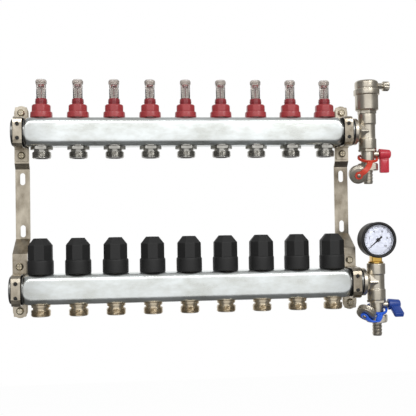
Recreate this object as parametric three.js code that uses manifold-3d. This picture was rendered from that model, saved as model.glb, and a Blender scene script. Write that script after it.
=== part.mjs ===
// Underfloor heating manifold for nine circuits.
//
// Two hollow stainless bars hang on two bent steel brackets. The upper (supply) bar carries a flow
// meter over each outlet, the lower (return) bar a hand cap. Each bar ends on the right in a tee:
// the upper tee holds an air vent, the lower one a pressure gauge, and both hold a drain valve.
//
// Millimetres. +X runs along the bars, +Z is up and the wall is the plane Y = 0, so the front faces
// -Y. The origin is on the wall face of the left bracket, half way between the two bars.
import * as THREE from "three";
import { mergeVertices } from "three/addons/utils/BufferGeometryUtils.js";
import Module from "manifold-3d";

const wasm = await Module();
wasm.setup();

// Layout
const circuits = 9;
const circuitPitch = 50;
const clampToCircuit = 30; // clamp centre to the nearest circuit
const barSpacing = 214;
const supplyOffset = 6; // wall to the back of the supply bar's clamp plate
const returnOffset = 32;

// Running gap between pieces that move on each other, and seat gap between fixed ones
const runningGap = 0.4;
const seatGap = 0.3;

// Bars
const neckDiameter = 37;
const neckBore = neckDiameter - 6.7;
const barHeight = neckDiameter + 3;
const barDepth = neckDiameter - 1;
const barCorner = 9;
const barWall = 1.5;
const barShoulder = 12; // corner radius of the bar's ends, seen from the front
const clampToShoulder = 8.5;
const neckOverhang = 10; // clamp centre to the neck's end

// Brackets, clamps and their screws
const stripWidth = 20;
const stripThickness = 2.5;
const tabReach = 40; // bar axis to the end of the bracket
const supplyBendTop = 40;
const supplyBendBottom = 48;
const returnBendTop = 66;
const returnBendBottom = 46;
const slotWidth = 7.2;
const slotLength = 17;
const slotBelowSupply = 62.5;
const slotAboveReturn = 78;
const screwReach = 30; // bar axis to the clamp screws
const screwDiameter = 5;
const screwHeadDiameter = 10;
const screwHeadHeight = 3;
const linerThickness = 0.8; // rubber between clamp and neck
const clampWidth = 12;
const clampFootWidth = 17;
const clampThickness = 2;
const clampCorner = 8;
const clampHoleDiameter = 5.5;
const clampHoleReach = 9.5;
const clampFootReach = 38;

// Outlet nipples
const nippleFlange = 27; // across flats
const nippleFlangeHeight = 4;
const nippleGroove = 21;
const nippleGrooveHeight = 3;
const nippleThread = 26.4;
const nippleThreadHeight = 9;
const nippleBore = 18;

// Flow meters, measured up from the top of the bar
const bossDiameter = 20;
const bossHeight = 8;
const rodDiameter = 2.4;
const skirtDiameter = 30;
const skirtHeight = 8.5;
const collarDiameter = 25.5;
const collarHeight = 18.5;
const ringDiameter = 16.4;
const ringHeight = 27;
const tubeDiameter = 13.5;
const tubeWall = 1.6;
const tubeHeadDiameter = 14.8;
const tubeHeadHeight = 7;
const meterHeight = 54;
const floatDiameter = tubeDiameter - 2 * tubeWall - 1.1;
const floatThickness = 2.5;
const floatDrop = 7; // top of the tube to the top of the disc
const floatRodLength = 60;

// Hand caps
const valveNeckDiameter = 20;
const valveNeckHeight = 14;
const valvePinBore = 3.2; // only the closing pin passes through the neck
const capHeight = 48.5;
const capSkirtDiameter = 35;
const capSkirtHeight = 18.5;
const capGrip = 31.5; // across flats
const capChamferHeight = 9.5;
const capTopDiameter = 17;
const capBoreHeight = 20;

// Tees
const clampToTee = 33;
const teeTop = 25.5; // axis to the upper face
const teeBottom = 25.5;
const teeDiameter = 23;
const teeCollarDiameter = 25.5;
const teeCollarHeight = 15;
const teeBore = 18.6;
const teeFlangeDiameter = 38.5;
const teeFlangeWidth = 6;
const teeHex = 20; // across flats
const spigotLength = 8;
const gasketGap = 0.8;

// Air vent, measured up from the top of its tee
const ventHex = 24;
const ventHexHeight = 4.5;
const ventBodyDiameter = 33;
const ventBodyHeight = 23;
const ventBandDiameter = 37;
const ventBandHeight = 8;
const ventLidHeight = 12.5;
const ventWall = 3;
const ventNippleDiameter = 6;
const ventNippleReach = 29;
const ventScrewDiameter = 14;
const ventScrewLength = 9;
const ventScrewStart = 24; // vent axis to the near face of the screw

// Drain valves, measured down from the bottom of their tee
const valveHex = 24;
const valveHexHeight = 3;
const valveBody = 19;
const valveBodyHeight = 17.2;
const unionHex = 27;
const unionHeight = 10.5;
const tailDiameter = 14;
const tailHeight = 19;
const tailBore = 9;
const barbs = 4;
const barbDepth = 1;
const stemDrop = 7;
const stemBoss = 9;
const stemBossReach = 16;
const stemDiameter = 6;
const stemReach = 27;

// Levers
const hubDiameter = 15.5;
const hubTipDiameter = 12.5;
const hubLength = 17;
const bladeWidth = 13;
const bladeThickness = 6.5;
const bladeLength = 27; // stem axis to the blade's end
const returnLeverTurn = -62; // degrees the return lever is swung towards the front

// Drain caps on their straps
const drainCapDiameter = 26;
const drainCapHeight = 9;
const drainCapBore = 22;
const strapThickness = 1.6;
const strapWidth = 6;
const strapRingInner = 23.5;
const strapRingOuter = 30;
const strapRingTilt = 25;
const ringDrop = 7.5; // top of the union nut to the middle of the ring
const strapEye = 11;
const rivetDiameter = 4;

// Pressure gauge
const gaugeDiameter = 50;
const gaugeDepth = 27;
const gaugeWall = 1.8;
const gaugeBezel = 43; // bezel opening
const gaugeAboveTee = 33; // top of the tee to the dial's centre
const gaugeBehind = 10; // tee axis to the back of the case
const socketSquare = 14;
const socketBlock = 10;
const socketFlange = 21;
const socketFlangeHeight = 2.5;
const dialDiameter = 45;
const dialThickness = 1;
const dialDepth = 5; // front rim of the case to the dial
const pointerLength = 17;
const pointerTail = 7;
const pointerZeroAngle = 222; // degrees from +X, counter-clockwise seen from the front
const spindleDiameter = 2;

// ---------------------------------------------------------------- derived places
const clampSpan = circuitPitch * (circuits - 1) + 2 * clampToCircuit;
const neckHold = neckDiameter / 2 + linerThickness;
const bars = {
  supply: { y: -(supplyOffset + stripThickness + neckHold), z: barSpacing / 2 },
  return: { y: -(returnOffset + stripThickness + neckHold), z: -barSpacing / 2 },
};
const circuitX = (k) => clampToCircuit + circuitPitch * k;
const teeX = clampSpan + clampToTee;
const barTop = barHeight / 2;

// ---------------------------------------------------------------- solids
// A closed three.js geometry as a manifold-3d solid.
function solidOf(geometry) {
  const bare = geometry.clone();
  bare.deleteAttribute("normal");
  bare.deleteAttribute("uv");
  const merged = mergeVertices(bare, 1e-4);
  return new wasm.Manifold(
    new wasm.Mesh({
      numProp: 3,
      vertProperties: new Float32Array(merged.attributes.position.array),
      triVerts: new Uint32Array(merged.index.array),
    }),
  );
}

// A manifold-3d solid as a three.js geometry.
function geometryOf(solid) {
  const mesh = solid.getMesh();
  const points = new Float32Array(mesh.numVert * 3);
  for (let i = 0; i < mesh.numVert; i++) {
    points.set(mesh.vertProperties.subarray(i * mesh.numProp, i * mesh.numProp + 3), i * 3);
  }
  return new THREE.BufferGeometry()
    .setAttribute("position", new THREE.BufferAttribute(points, 3))
    .setIndex(new THREE.BufferAttribute(mesh.triVerts, 1));
}

// A turned body about +Z from its outline, [radius, height] pairs from the bottom up. The outline
// is closed along the axis, or along a bore of the radius given.
function turned(outline, segments, bore = 0) {
  const low = outline[0][1];
  const high = outline[outline.length - 1][1];
  const closed = [[bore, low], ...outline, [bore, high]];
  if (bore) closed.push([bore, low]);
  const points = closed.map(([r, z]) => new THREE.Vector2(r, z));
  return solidOf(new THREE.LatheGeometry(points, segments).rotateX(Math.PI / 2));
}

const cylinder = (diameter, low, high, segments = 16) =>
  turned([[diameter / 2, low], [diameter / 2, high]], segments);

// A regular prism about +Z, given across its flats, with a flat towards the front.
function prism(flats, low, high, sides = 6) {
  const radius = flats / 2 / Math.cos(Math.PI / sides);
  const body = new THREE.CylinderGeometry(radius, radius, high - low, sides);
  return solidOf(
    body.rotateX(Math.PI / 2).rotateZ(Math.PI / sides).translate(0, 0, (high + low) / 2),
  );
}

function box(width, depth, height, x = 0, y = 0, z = 0) {
  return solidOf(new THREE.BoxGeometry(width, depth, height).translate(x, y, z));
}

// A flat outline in (x, z), extruded along Y from y = near to y = far.
function frontExtrude(shape, near, far, curveSegments = 4) {
  const slab = new THREE.ExtrudeGeometry(shape, {
    depth: far - near,
    bevelEnabled: false,
    curveSegments,
  });
  return solidOf(slab.rotateX(Math.PI / 2).translate(0, far, 0));
}

// A flat outline in (y, z), extruded along X from x = near to x = far.
function sideExtrude(shape, near, far, curveSegments = 4) {
  const slab = new THREE.ExtrudeGeometry(shape, {
    depth: far - near,
    bevelEnabled: false,
    curveSegments,
  });
  return solidOf(slab.rotateX(Math.PI / 2).rotateZ(Math.PI / 2).translate(near, 0, 0));
}

function roundedRectangle(width, height, radius, x = 0, y = 0) {
  const [w, h] = [width / 2, height / 2];
  const r = Math.min(radius, w, h);
  const shape = new THREE.Shape();
  shape.moveTo(x - w + r, y - h);
  shape.lineTo(x + w - r, y - h);
  shape.absarc(x + w - r, y - h + r, r, -Math.PI / 2, 0, false);
  shape.lineTo(x + w, y + h - r);
  shape.absarc(x + w - r, y + h - r, r, 0, Math.PI / 2, false);
  shape.lineTo(x - w + r, y + h);
  shape.absarc(x - w + r, y + h - r, r, Math.PI / 2, Math.PI, false);
  shape.lineTo(x - w, y - h + r);
  shape.absarc(x - w + r, y - h + r, r, Math.PI, 1.5 * Math.PI, false);
  return shape;
}

const turnX = (solid, degrees) => solid.rotate([degrees, 0, 0]);
const alongX = (solid) => solid.rotate([0, 90, 0]); // +Z becomes +X
const towardsFront = (solid) => solid.rotate([90, 0, 0]); // +Z becomes -Y
const all = (first, ...rest) => rest.reduce((sum, next) => sum.add(next), first);

// ---------------------------------------------------------------- bars
// The bar's shell between its two shoulders, inset by a wall, along X about the bar's axis.
function barBody(inset) {
  const middle = clampSpan / 2;
  const length = clampSpan - 2 * clampToShoulder - 2 * inset;
  const section = roundedRectangle(
    barDepth - 2 * inset,
    barHeight - 2 * inset,
    barCorner - inset,
  );
  const front = roundedRectangle(length, barHeight, barShoulder, middle, 0);
  const plan = roundedRectangle(length, barDepth, barShoulder, middle, 0);
  const planSlab = new THREE.ExtrudeGeometry(plan, {
    depth: barHeight,
    bevelEnabled: false,
    curveSegments: 3,
  });
  return sideExtrude(section, 0, clampSpan, 3)
    .intersect(frontExtrude(front, -barDepth, barDepth, 3))
    .intersect(solidOf(planSlab.translate(0, 0, -barHeight / 2)));
}

// One outlet nipple, hanging from the underside of the bar.
function nipple(hexFlange) {
  const flangeBottom = -barTop - nippleFlangeHeight;
  const threadTop = flangeBottom - nippleGrooveHeight;
  const threadBottom = threadTop - nippleThreadHeight;
  const flangeTop = -barTop + barWall / 2;
  const flange = hexFlange
    ? prism(nippleFlange, flangeBottom, flangeTop)
    : cylinder(nippleThread - 1.5, flangeBottom, flangeTop, 12);
  const thread = turned(
    [
      [nippleThread / 2 - 1, threadBottom],
      [nippleThread / 2, threadBottom + 1],
      [nippleThread / 2, threadTop],
      [nippleGroove / 2, threadTop],
      [nippleGroove / 2, flangeBottom + 0.5],
    ],
    12,
  );
  return flange.add(thread);
}

const nippleBottom = -barTop - nippleFlangeHeight - nippleGrooveHeight - nippleThreadHeight;

// A hollow bar with its sealed-in nipples and the necks that its meters or caps sit on.
function bar(hexFlange, topNeckDiameter, topNeckHeight, topBore) {
  const neckLength = clampSpan + 2 * neckOverhang;
  const neckSolid = alongX(cylinder(neckDiameter, 0, neckLength, 24));
  const boreSolid = alongX(cylinder(neckBore, -1, neckLength + 1, 18));
  let solid = barBody(0).add(
    neckSolid.translate([-neckOverhang, 0, 0]).subtract(
      box(circuitPitch * (circuits - 1), 2 * barDepth, 2 * barHeight, clampSpan / 2),
    ),
  );
  let hollow = barBody(barWall);
  const endBore = boreSolid.translate([-neckOverhang, 0, 0]);
  for (let k = 0; k < circuits; k++) {
    solid = all(
      solid,
      nipple(hexFlange).translate([circuitX(k), 0, 0]),
      cylinder(topNeckDiameter, barTop - barWall / 2, barTop + topNeckHeight, 12)
        .translate([circuitX(k), 0, 0]),
    );
    hollow = all(
      hollow,
      cylinder(nippleBore, nippleBottom - 1, -barTop + barWall + 1, 10)
        .translate([circuitX(k), 0, 0]),
      cylinder(topBore, barTop - 2 * barWall, barTop + topNeckHeight + 1, 8)
        .translate([circuitX(k), 0, 0]),
    );
  }
  return solid.subtract(hollow).subtract(endBore);
}

// ---------------------------------------------------------------- brackets and clamps
// Offsets an open path in (y, z) by the thickness, to its left, with mitred bends.
function bentSheet(path, thickness) {
  const points = path.map(([y, z]) => new THREE.Vector2(y, z));
  const normals = points.slice(1).map((p, i) => {
    const run = p.clone().sub(points[i]).normalize();
    return new THREE.Vector2(-run.y, run.x);
  });
  const offset = points.map((p, i) => {
    const before = normals[Math.max(i - 1, 0)];
    const after = normals[Math.min(i, normals.length - 1)];
    const mitre = before.clone().add(after).normalize();
    return p.clone().addScaledVector(mitre, thickness / mitre.dot(after));
  });
  return new THREE.Shape([...points, ...offset.reverse()]);
}

// A steel bracket: wall strip, one joggle up to each bar, clamp screw holes and wall slots.
function bracket() {
  const { supply, return: back } = bars;
  const top = supply.z + tabReach;
  const bottom = back.z - tabReach;
  const wallSide = [
    [-returnOffset, bottom],
    [-returnOffset, back.z + returnBendBottom],
    [0, back.z + returnBendTop],
    [0, supply.z - supplyBendBottom],
    [-supplyOffset, supply.z - supplyBendTop],
    [-supplyOffset, top],
  ];
  const outline = roundedRectangle(stripWidth, top - bottom, stripWidth / 2, 0, (top + bottom) / 2);
  for (const z of [supply.z - slotBelowSupply, back.z + slotAboveReturn]) {
    outline.holes.push(roundedRectangle(slotWidth, slotLength, slotWidth / 2, 0, z));
  }
  for (const { z } of [supply, back]) {
    for (const side of [-screwReach, screwReach]) {
      const hole = new THREE.Path();
      hole.absarc(0, z + side, screwDiameter / 2 + runningGap, 0, 2 * Math.PI, false);
      outline.holes.push(hole);
    }
  }
  const reach = returnOffset + 2 * stripThickness;
  return sideExtrude(bentSheet(wallSide, stripThickness), -stripWidth, stripWidth).intersect(
    frontExtrude(outline, -reach, reach, 4),
  );
}

// A clamp about its bar's axis: a hat-shaped strap with its two screws driven home.
function clamp() {
  const inner = neckHold;
  const plate = inner - seatGap; // the feet stop this far behind the axis
  const bend = Math.min(clampCorner, inner);
  const corner = (sign, steps = 3) =>
    Array.from({ length: steps + 1 }, (_, i) => {
      const angle = (sign * (steps - i) * Math.PI) / 2 / steps;
      const centre = [-(inner - bend), sign * (inner - bend)];
      return [centre[0] - bend * Math.cos(angle), centre[1] + bend * Math.sin(angle)];
    });
  const upper = corner(1);
  const lower = corner(-1).reverse();
  const innerPath = [
    [plate, clampFootReach],
    [plate, inner],
    ...upper,
    ...lower,
    [plate, -inner],
    [plate, -clampFootReach],
  ];
  const shape = bentSheet(innerPath.reverse(), clampThickness);
  const height = inner + clampThickness + seatGap;
  const band = roundedRectangle(clampWidth, 2 * height, 1);
  for (const z of [-clampHoleReach, clampHoleReach]) {
    const hole = new THREE.Path();
    hole.absarc(0, z, clampHoleDiameter / 2, 0, 2 * Math.PI, false);
    band.holes.push(hole);
  }
  const reach = inner + 2 * clampThickness;
  let outline = frontExtrude(band, -reach, reach, 2);
  const footHeight = clampFootReach - inner;
  for (const side of [-1, 1]) {
    const foot = roundedRectangle(clampFootWidth, footHeight, 1.5, 0, side * (inner + footHeight / 2));
    outline = outline.add(frontExtrude(foot, inner / 2, reach, 2));
  }
  let solid = sideExtrude(shape, -clampFootWidth, clampFootWidth).intersect(outline);
  const faceY = plate - clampThickness;
  for (const side of [-screwReach, screwReach]) {
    const screw = turned(
      [
        [screwDiameter / 2, -clampThickness - stripThickness - 1],
        [screwDiameter / 2, -clampThickness / 2],
        [screwHeadDiameter / 2, -clampThickness / 2],
        [screwHeadDiameter / 2, screwHeadHeight - 1],
        [screwHeadDiameter / 4, screwHeadHeight],
      ],
      8,
    );
    solid = solid.add(towardsFront(screw).translate([0, faceY, side]));
  }
  return solid;
}

// ---------------------------------------------------------------- flow meters
// All three are about their own axis, with height 0 at the top of the bar.
function meterCollar() {
  const outside = turned(
    [
      [skirtDiameter / 2 + 0.4, seatGap],
      [skirtDiameter / 2, skirtHeight],
      [collarDiameter / 2 + 0.4, skirtHeight],
      [collarDiameter / 2, collarHeight - 1],
      [collarDiameter / 2 - 1.2, collarHeight],
      [ringDiameter / 2, collarHeight],
      [ringDiameter / 2, ringHeight],
    ],
    12,
  );
  const boss = cylinder(bossDiameter + 3 * runningGap, 0, bossHeight + seatGap, 12);
  const throat = cylinder(tubeDiameter - tubeWall + 2 * seatGap, 0, ringHeight + 1, 10);
  return outside.subtract(boss).subtract(throat);
}

function meterTube() {
  const spigot = (tubeDiameter - tubeWall) / 2;
  const headTop = meterHeight - 1.5;
  const outside = turned(
    [
      [spigot, bossHeight + seatGap],
      [spigot, ringHeight + seatGap],
      [tubeDiameter / 2, ringHeight + seatGap],
      [tubeDiameter / 2, meterHeight - tubeHeadHeight],
      [tubeHeadDiameter / 2, meterHeight - tubeHeadHeight + 1],
      [tubeHeadDiameter / 2, headTop - 1],
      [tubeHeadDiameter / 2 - 2, meterHeight],
    ],
    10,
  );
  return outside.subtract(
    cylinder(tubeDiameter - 2 * tubeWall, bossHeight - 1, meterHeight - 2 * tubeWall, 10),
  );
}

function meterFloat() {
  const top = meterHeight - floatDrop;
  const disc = top - floatThickness;
  return turned(
    [
      [rodDiameter / 2, top - floatRodLength],
      [rodDiameter / 2, disc - 3],
      [floatDiameter / 2, disc],
      [floatDiameter / 2, top],
    ],
    8,
  );
}

// ---------------------------------------------------------------- hand caps
function handCap() {
  const chamferStart = capHeight - capChamferHeight;
  const grip = prism(capGrip, capSkirtHeight, capHeight, 8).intersect(
    turned(
      [
        [capSkirtDiameter / 2, capSkirtHeight - 1],
        [capSkirtDiameter / 2 - 0.6, chamferStart],
        [capTopDiameter / 2, capHeight],
      ],
      12,
    ),
  );
  const skirt = turned(
    [
      [capSkirtDiameter / 2 - 1, seatGap],
      [capSkirtDiameter / 2, seatGap + 1.5],
      [capSkirtDiameter / 2, capSkirtHeight],
      [capGrip / 2 - 1, capSkirtHeight + 1],
    ],
    16,
  );
  return grip.add(skirt).subtract(cylinder(valveNeckDiameter + 3 * runningGap, 0, capBoreHeight, 12));
}

// ---------------------------------------------------------------- tees
// About the tee's own axis, with its branch towards -X and a spigot in the bar's neck.
function tee() {
  const run = turned(
    [
      [teeCollarDiameter / 2 - 1, -teeBottom],
      [teeCollarDiameter / 2, -teeBottom + 1],
      [teeCollarDiameter / 2, -teeBottom + teeCollarHeight],
      [teeDiameter / 2, -teeBottom + teeCollarHeight + 1],
      [teeDiameter / 2, teeTop - teeCollarHeight - 1],
      [teeCollarDiameter / 2, teeTop - teeCollarHeight],
      [teeCollarDiameter / 2, teeTop - 1],
      [teeCollarDiameter / 2 - 1, teeTop],
    ],
    16,
  );
  // The branch's outline runs towards the bar, so its heights are distances from the tee's axis.
  const flangeFace = clampToTee - neckOverhang - gasketGap;
  const flangeBack = flangeFace - teeFlangeWidth;
  const branch = turned(
    [
      [teeHex / 2, 0],
      [teeHex / 2, flangeBack - 5],
      [teeFlangeDiameter / 2 - 1, flangeBack],
      [teeFlangeDiameter / 2, flangeBack + 1],
      [teeFlangeDiameter / 2, flangeFace],
      [neckBore / 2 - runningGap, flangeFace],
      [neckBore / 2 - runningGap, flangeFace + spigotLength],
    ],
    18,
  );
  const hex = prism(teeHex + 2, 0, flangeBack - 3.5);
  const outside = run.add(branch.add(hex).rotate([0, -90, 0]));
  const branchBore = cylinder(teeBore - 2, 0, flangeFace + spigotLength + 1, 12).rotate([0, -90, 0]);
  return outside
    .subtract(cylinder(teeBore, -teeBottom - 1, teeTop + 1, 16))
    .subtract(branchBore);
}

// ---------------------------------------------------------------- air vent
// Height 0 is the top of the tee.
const ventBodyTop = ventHexHeight + ventBodyHeight;
const ventTop = ventBodyTop + ventBandHeight + ventLidHeight;
const ventNippleHeight = ventTop - ventLidHeight / 2 - 1;

function ventBody() {
  const outside = all(
    turned(
      [
        [teeBore / 2 - seatGap, -spigotLength],
        [teeBore / 2 - seatGap, seatGap],
        [ventHex / 2 - 1, seatGap],
        [ventHex / 2 - 1, ventHexHeight],
        [ventBodyDiameter / 2 - 1.5, ventHexHeight],
        [ventBodyDiameter / 2, ventHexHeight + 1.5],
        [ventBodyDiameter / 2, ventBodyTop],
        [ventBandDiameter / 2, ventBodyTop + 1],
        [ventBandDiameter / 2, ventBodyTop + ventBandHeight - 1],
        [ventBodyDiameter / 2, ventBodyTop + ventBandHeight],
        [ventBodyDiameter / 2, ventTop - 2],
        [ventBodyDiameter / 2 - 3, ventTop],
      ],
      20,
    ),
    prism(ventHex, seatGap, ventHexHeight + 0.5),
    alongX(cylinder(ventNippleDiameter, ventBodyDiameter / 2 - 2, ventNippleReach, 12))
      .translate([0, 0, ventNippleHeight]),
    alongX(prism(ventNippleDiameter + 2.5, ventBodyDiameter / 2 - 2, ventScrewStart - 2))
      .translate([0, 0, ventNippleHeight]),
  );
  const chamber = cylinder(
    ventBodyDiameter - 2 * ventWall,
    ventHexHeight + ventWall,
    ventTop - ventWall,
    16,
  );
  return outside.subtract(chamber.add(cylinder(tailBore, -spigotLength - 1, ventTop / 2, 12)));
}

function ventScrew() {
  const far = ventScrewStart + ventScrewLength;
  const knob = turned(
    [
      [ventScrewDiameter / 2 - 1, ventScrewStart],
      [ventScrewDiameter / 2, ventScrewStart + 1],
      [ventScrewDiameter / 2, far - 1],
      [ventScrewDiameter / 2 - 1, far],
    ],
    16,
  );
  const bore = cylinder(ventNippleDiameter + 2 * runningGap, 0, ventNippleReach + runningGap, 12);
  return alongX(knob.subtract(bore)).translate([0, 0, ventNippleHeight]);
}

// ---------------------------------------------------------------- drain valves
// Height 0 is the bottom of the tee.
const bodyBottom = -seatGap - valveHexHeight - valveBodyHeight;
const unionBottom = bodyBottom - unionHeight;
const tailBottom = unionBottom - tailHeight;

function drainValve() {
  const tail = [];
  for (let k = 0; k < barbs; k++) {
    const low = tailBottom + (k * tailHeight) / barbs;
    tail.push([tailDiameter / 2 - barbDepth, low]);
    tail.push([tailDiameter / 2, low + tailHeight / barbs - 0.8]);
  }
  const chamfers = turned(
    [
      [unionHex / 2 - 0.5, unionBottom],
      [unionHex / 2 + 2.2, unionBottom + 1.6],
      [unionHex / 2 + 2.2, bodyBottom - 1.6],
      [unionHex / 2 - 0.5, bodyBottom],
    ],
    16,
  );
  const outside = all(
    turned(
      [
        ...tail,
        [tailDiameter / 2 - barbDepth, unionBottom],
        [unionHex / 2 - 1, unionBottom],
        [unionHex / 2 - 1, bodyBottom],
        [valveBody / 2, bodyBottom],
        [valveBody / 2, -valveHexHeight - seatGap],
        [valveHex / 2 - 1, -valveHexHeight - seatGap],
        [valveHex / 2 - 1, -seatGap],
        [teeBore / 2 - seatGap, -seatGap],
        [teeBore / 2 - seatGap, spigotLength],
      ],
      12,
    ),
    prism(valveHex, -valveHexHeight - seatGap, -seatGap),
    prism(unionHex, unionBottom, bodyBottom).intersect(chamfers),
    alongX(cylinder(stemBoss, 0, stemBossReach, 12)).translate([0, 0, -stemDrop]),
    alongX(cylinder(stemDiameter, 0, stemReach, 8)).translate([0, 0, -stemDrop]),
  );
  return outside.subtract(cylinder(tailBore, tailBottom - 1, spigotLength + 1, 10));
}

// About the stem's axis, with X measured from the valve's axis and the blade hanging down.
function lever() {
  const near = stemBossReach + seatGap;
  const far = near + hubLength;
  const hub = turned(
    [
      [hubDiameter / 2 - 0.8, near],
      [hubDiameter / 2, near + 1],
      [hubTipDiameter / 2, far - 1],
      [hubTipDiameter / 2 - 1, far],
    ],
    12,
  );
  const outline = roundedRectangle(
    bladeWidth,
    bladeLength,
    2,
    near + 1.5 + bladeWidth / 2,
    -bladeLength / 2,
  );
  const blade = frontExtrude(outline, -bladeThickness / 2, bladeThickness / 2, 2);
  const stem = alongX(cylinder(stemDiameter + 2 * runningGap, 0, stemReach + runningGap, 10));
  return alongX(hub).add(blade).subtract(stem);
}

// A flat ribbon along points, its upper face turning from one direction to another on the way.
function ribbon(points, firstNormal, lastNormal) {
  const steps = 8;
  const curve = new THREE.CatmullRomCurve3(points);
  const vertices = [];
  for (let i = 0; i <= steps; i++) {
    const along = curve.getTangent(i / steps);
    const across = firstNormal.clone().lerp(lastNormal, i / steps).cross(along).normalize();
    const normal = along.cross(across).multiplyScalar(strapThickness / 2);
    across.multiplyScalar(strapWidth / 2);
    for (const [u, v] of [[-1, -1], [1, -1], [1, 1], [-1, 1]]) {
      const corner = curve.getPoint(i / steps).addScaledVector(across, u).addScaledVector(normal, v);
      vertices.push(...corner.toArray());
    }
  }
  const faces = [0, 2, 1, 0, 3, 2];
  for (let i = 0; i < steps; i++) {
    for (let side = 0; side < 4; side++) {
      const [p, q] = [4 * i + side, 4 * i + ((side + 1) % 4)];
      faces.push(p, q, q + 4, p, q + 4, p + 4);
    }
  }
  const last = 4 * steps;
  faces.push(last, last + 1, last + 2, last, last + 2, last + 3);
  const body = new wasm.Manifold(
    new wasm.Mesh({
      numProp: 3,
      vertProperties: new Float32Array(vertices),
      triVerts: new Uint32Array(faces),
    }),
  );
  return body;
}

// The strap about the valve's axis: a tilted ring round the throat and a ribbon to an eye, where
// the drain cap hangs from its rivet. The eye's outer face and the ribbon's side are directions.
function strapAndCap({ eye, faces, ribbonSide, bends, underside }) {
  const vector = (values) => new THREE.Vector3(...values);
  const tilt = (strapRingTilt * Math.PI) / 180;
  const ringMiddle = -seatGap - valveHexHeight - valveBodyHeight + ringDrop;
  const ring = turnX(
    turned(
      [[strapRingOuter / 2, -strapThickness / 2], [strapRingOuter / 2, strapThickness / 2]],
      20,
    ).subtract(cylinder(strapRingInner, -strapThickness, strapThickness, 20)),
    strapRingTilt,
  ).translate([0, 0, ringMiddle]);
  const radius = (strapRingInner + strapRingOuter) / 4;
  const start = vector([0, -radius * Math.cos(tilt), ringMiddle - radius * Math.sin(tilt)]);
  const outer = vector(faces).normalize();
  const upper = outer.clone().cross(vector(ribbonSide)).normalize();
  const side = upper.clone().cross(outer);
  const frame = new THREE.Matrix4().makeBasis(side, upper, outer).setPosition(...eye);
  const inFrame = (x) => vector([x, 0, 0]).applyMatrix4(frame);
  const ringNormal = vector([0, -Math.sin(tilt), Math.cos(tilt)]);
  const path = [start, ...bends.map(vector), inFrame(strapEye), inFrame(strapEye / 3)];
  const tail = ribbon(path, ringNormal.multiplyScalar(underside ? -1 : 1), outer);
  const place = (solid) => solid.transform(frame.toArray());
  const eyeDisc = cylinder(strapEye, -strapThickness / 2, strapThickness / 2, 12);
  const rivetHole = cylinder(rivetDiameter + 2 * seatGap, -strapThickness, strapThickness, 10);
  const capTop = -strapThickness / 2 - 3 * seatGap;
  const cup = turned(
    [
      [drainCapDiameter / 2, capTop - drainCapHeight],
      [drainCapDiameter / 2, capTop - 1],
      [drainCapDiameter / 2 - 1, capTop],
    ],
    16,
  ).subtract(cylinder(drainCapBore, capTop - drainCapHeight - 1, capTop - 3, 12));
  const rivet = cylinder(rivetDiameter, capTop - 1, strapThickness / 2 + 1, 10);
  const clear = cylinder(
    drainCapDiameter + 2 * seatGap,
    capTop - drainCapHeight - 1,
    capTop + seatGap,
    16,
  );
  const strap = ring.add(tail).add(place(eyeDisc));
  return {
    strap: strap.subtract(place(rivetHole)).subtract(place(clear)),
    cap: place(cup.add(rivet)),
  };
}

// ---------------------------------------------------------------- pressure gauge
// Every piece is about the dial's axis, which runs along Y. Height 0 is the dial's centre and
// Y = 0 is the tee's axis.
const gaugeFront = gaugeBehind - gaugeDepth;
const dialY = gaugeFront + dialDepth;
const teeTopBelowDial = -gaugeAboveTee;

function gaugeCase() {
  const rim = gaugeDiameter / 2;
  const cup = turned(
    [
      [rim - 3, -gaugeBehind],
      [rim - 0.8, -gaugeBehind + 2.5],
      [rim - 0.8, -gaugeFront - 5],
      [rim, -gaugeFront - 4],
      [rim, -gaugeFront - 1],
      [rim - 1, -gaugeFront],
    ],
    24,
  );
  const inside = all(
    cylinder(gaugeDiameter - 2 * gaugeWall - 1.2, -gaugeBehind + gaugeWall, -dialY + 2, 24),
    cylinder(gaugeBezel, 0, -gaugeFront + 1, 24),
  );
  const entry = box(
    socketSquare + 2 * seatGap,
    socketSquare + 2 * seatGap,
    gaugeDiameter,
    0,
    0,
    -gaugeDiameter / 2,
  );
  return towardsFront(cup.subtract(inside)).subtract(entry);
}

// The brass socket: a threaded spigot in the tee, a square for the spanner and the movement block.
function gaugeSocket() {
  const base = turned(
    [
      [teeBore / 2 - seatGap, teeTopBelowDial - spigotLength],
      [teeBore / 2 - seatGap, teeTopBelowDial + seatGap],
      [socketFlange / 2, teeTopBelowDial + seatGap],
      [socketFlange / 2, teeTopBelowDial + socketFlangeHeight],
    ],
    20,
  );
  const squareTop = -gaugeDiameter / 2 + 6;
  const square = box(
    socketSquare,
    socketSquare,
    squareTop - teeTopBelowDial,
    0,
    0,
    (squareTop + teeTopBelowDial) / 2,
  );
  const blockFront = dialY + dialThickness + seatGap;
  const blockDepth = gaugeBehind - gaugeWall - blockFront - 2 * seatGap;
  const blockBottom = squareTop - 2;
  const block = box(
    socketBlock,
    blockDepth,
    socketBlock / 2 - blockBottom,
    0,
    blockFront + blockDepth / 2,
    (socketBlock / 2 + blockBottom) / 2,
  );
  const spindleHole = towardsFront(
    cylinder(spindleDiameter + 2 * seatGap, -blockFront - 6, -blockFront + 1, 10),
  );
  return base.add(square).add(block).subtract(spindleHole);
}

function gaugeDial() {
  return towardsFront(
    turned([[dialDiameter / 2 - 0.8, 0], [dialDiameter / 2 - 0.8, dialThickness]], 20)
      .subtract(cylinder(spindleDiameter + 2 * seatGap, -1, dialThickness + 1, 10))
      .translate([0, 0, -dialY - dialThickness]),
  );
}

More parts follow.
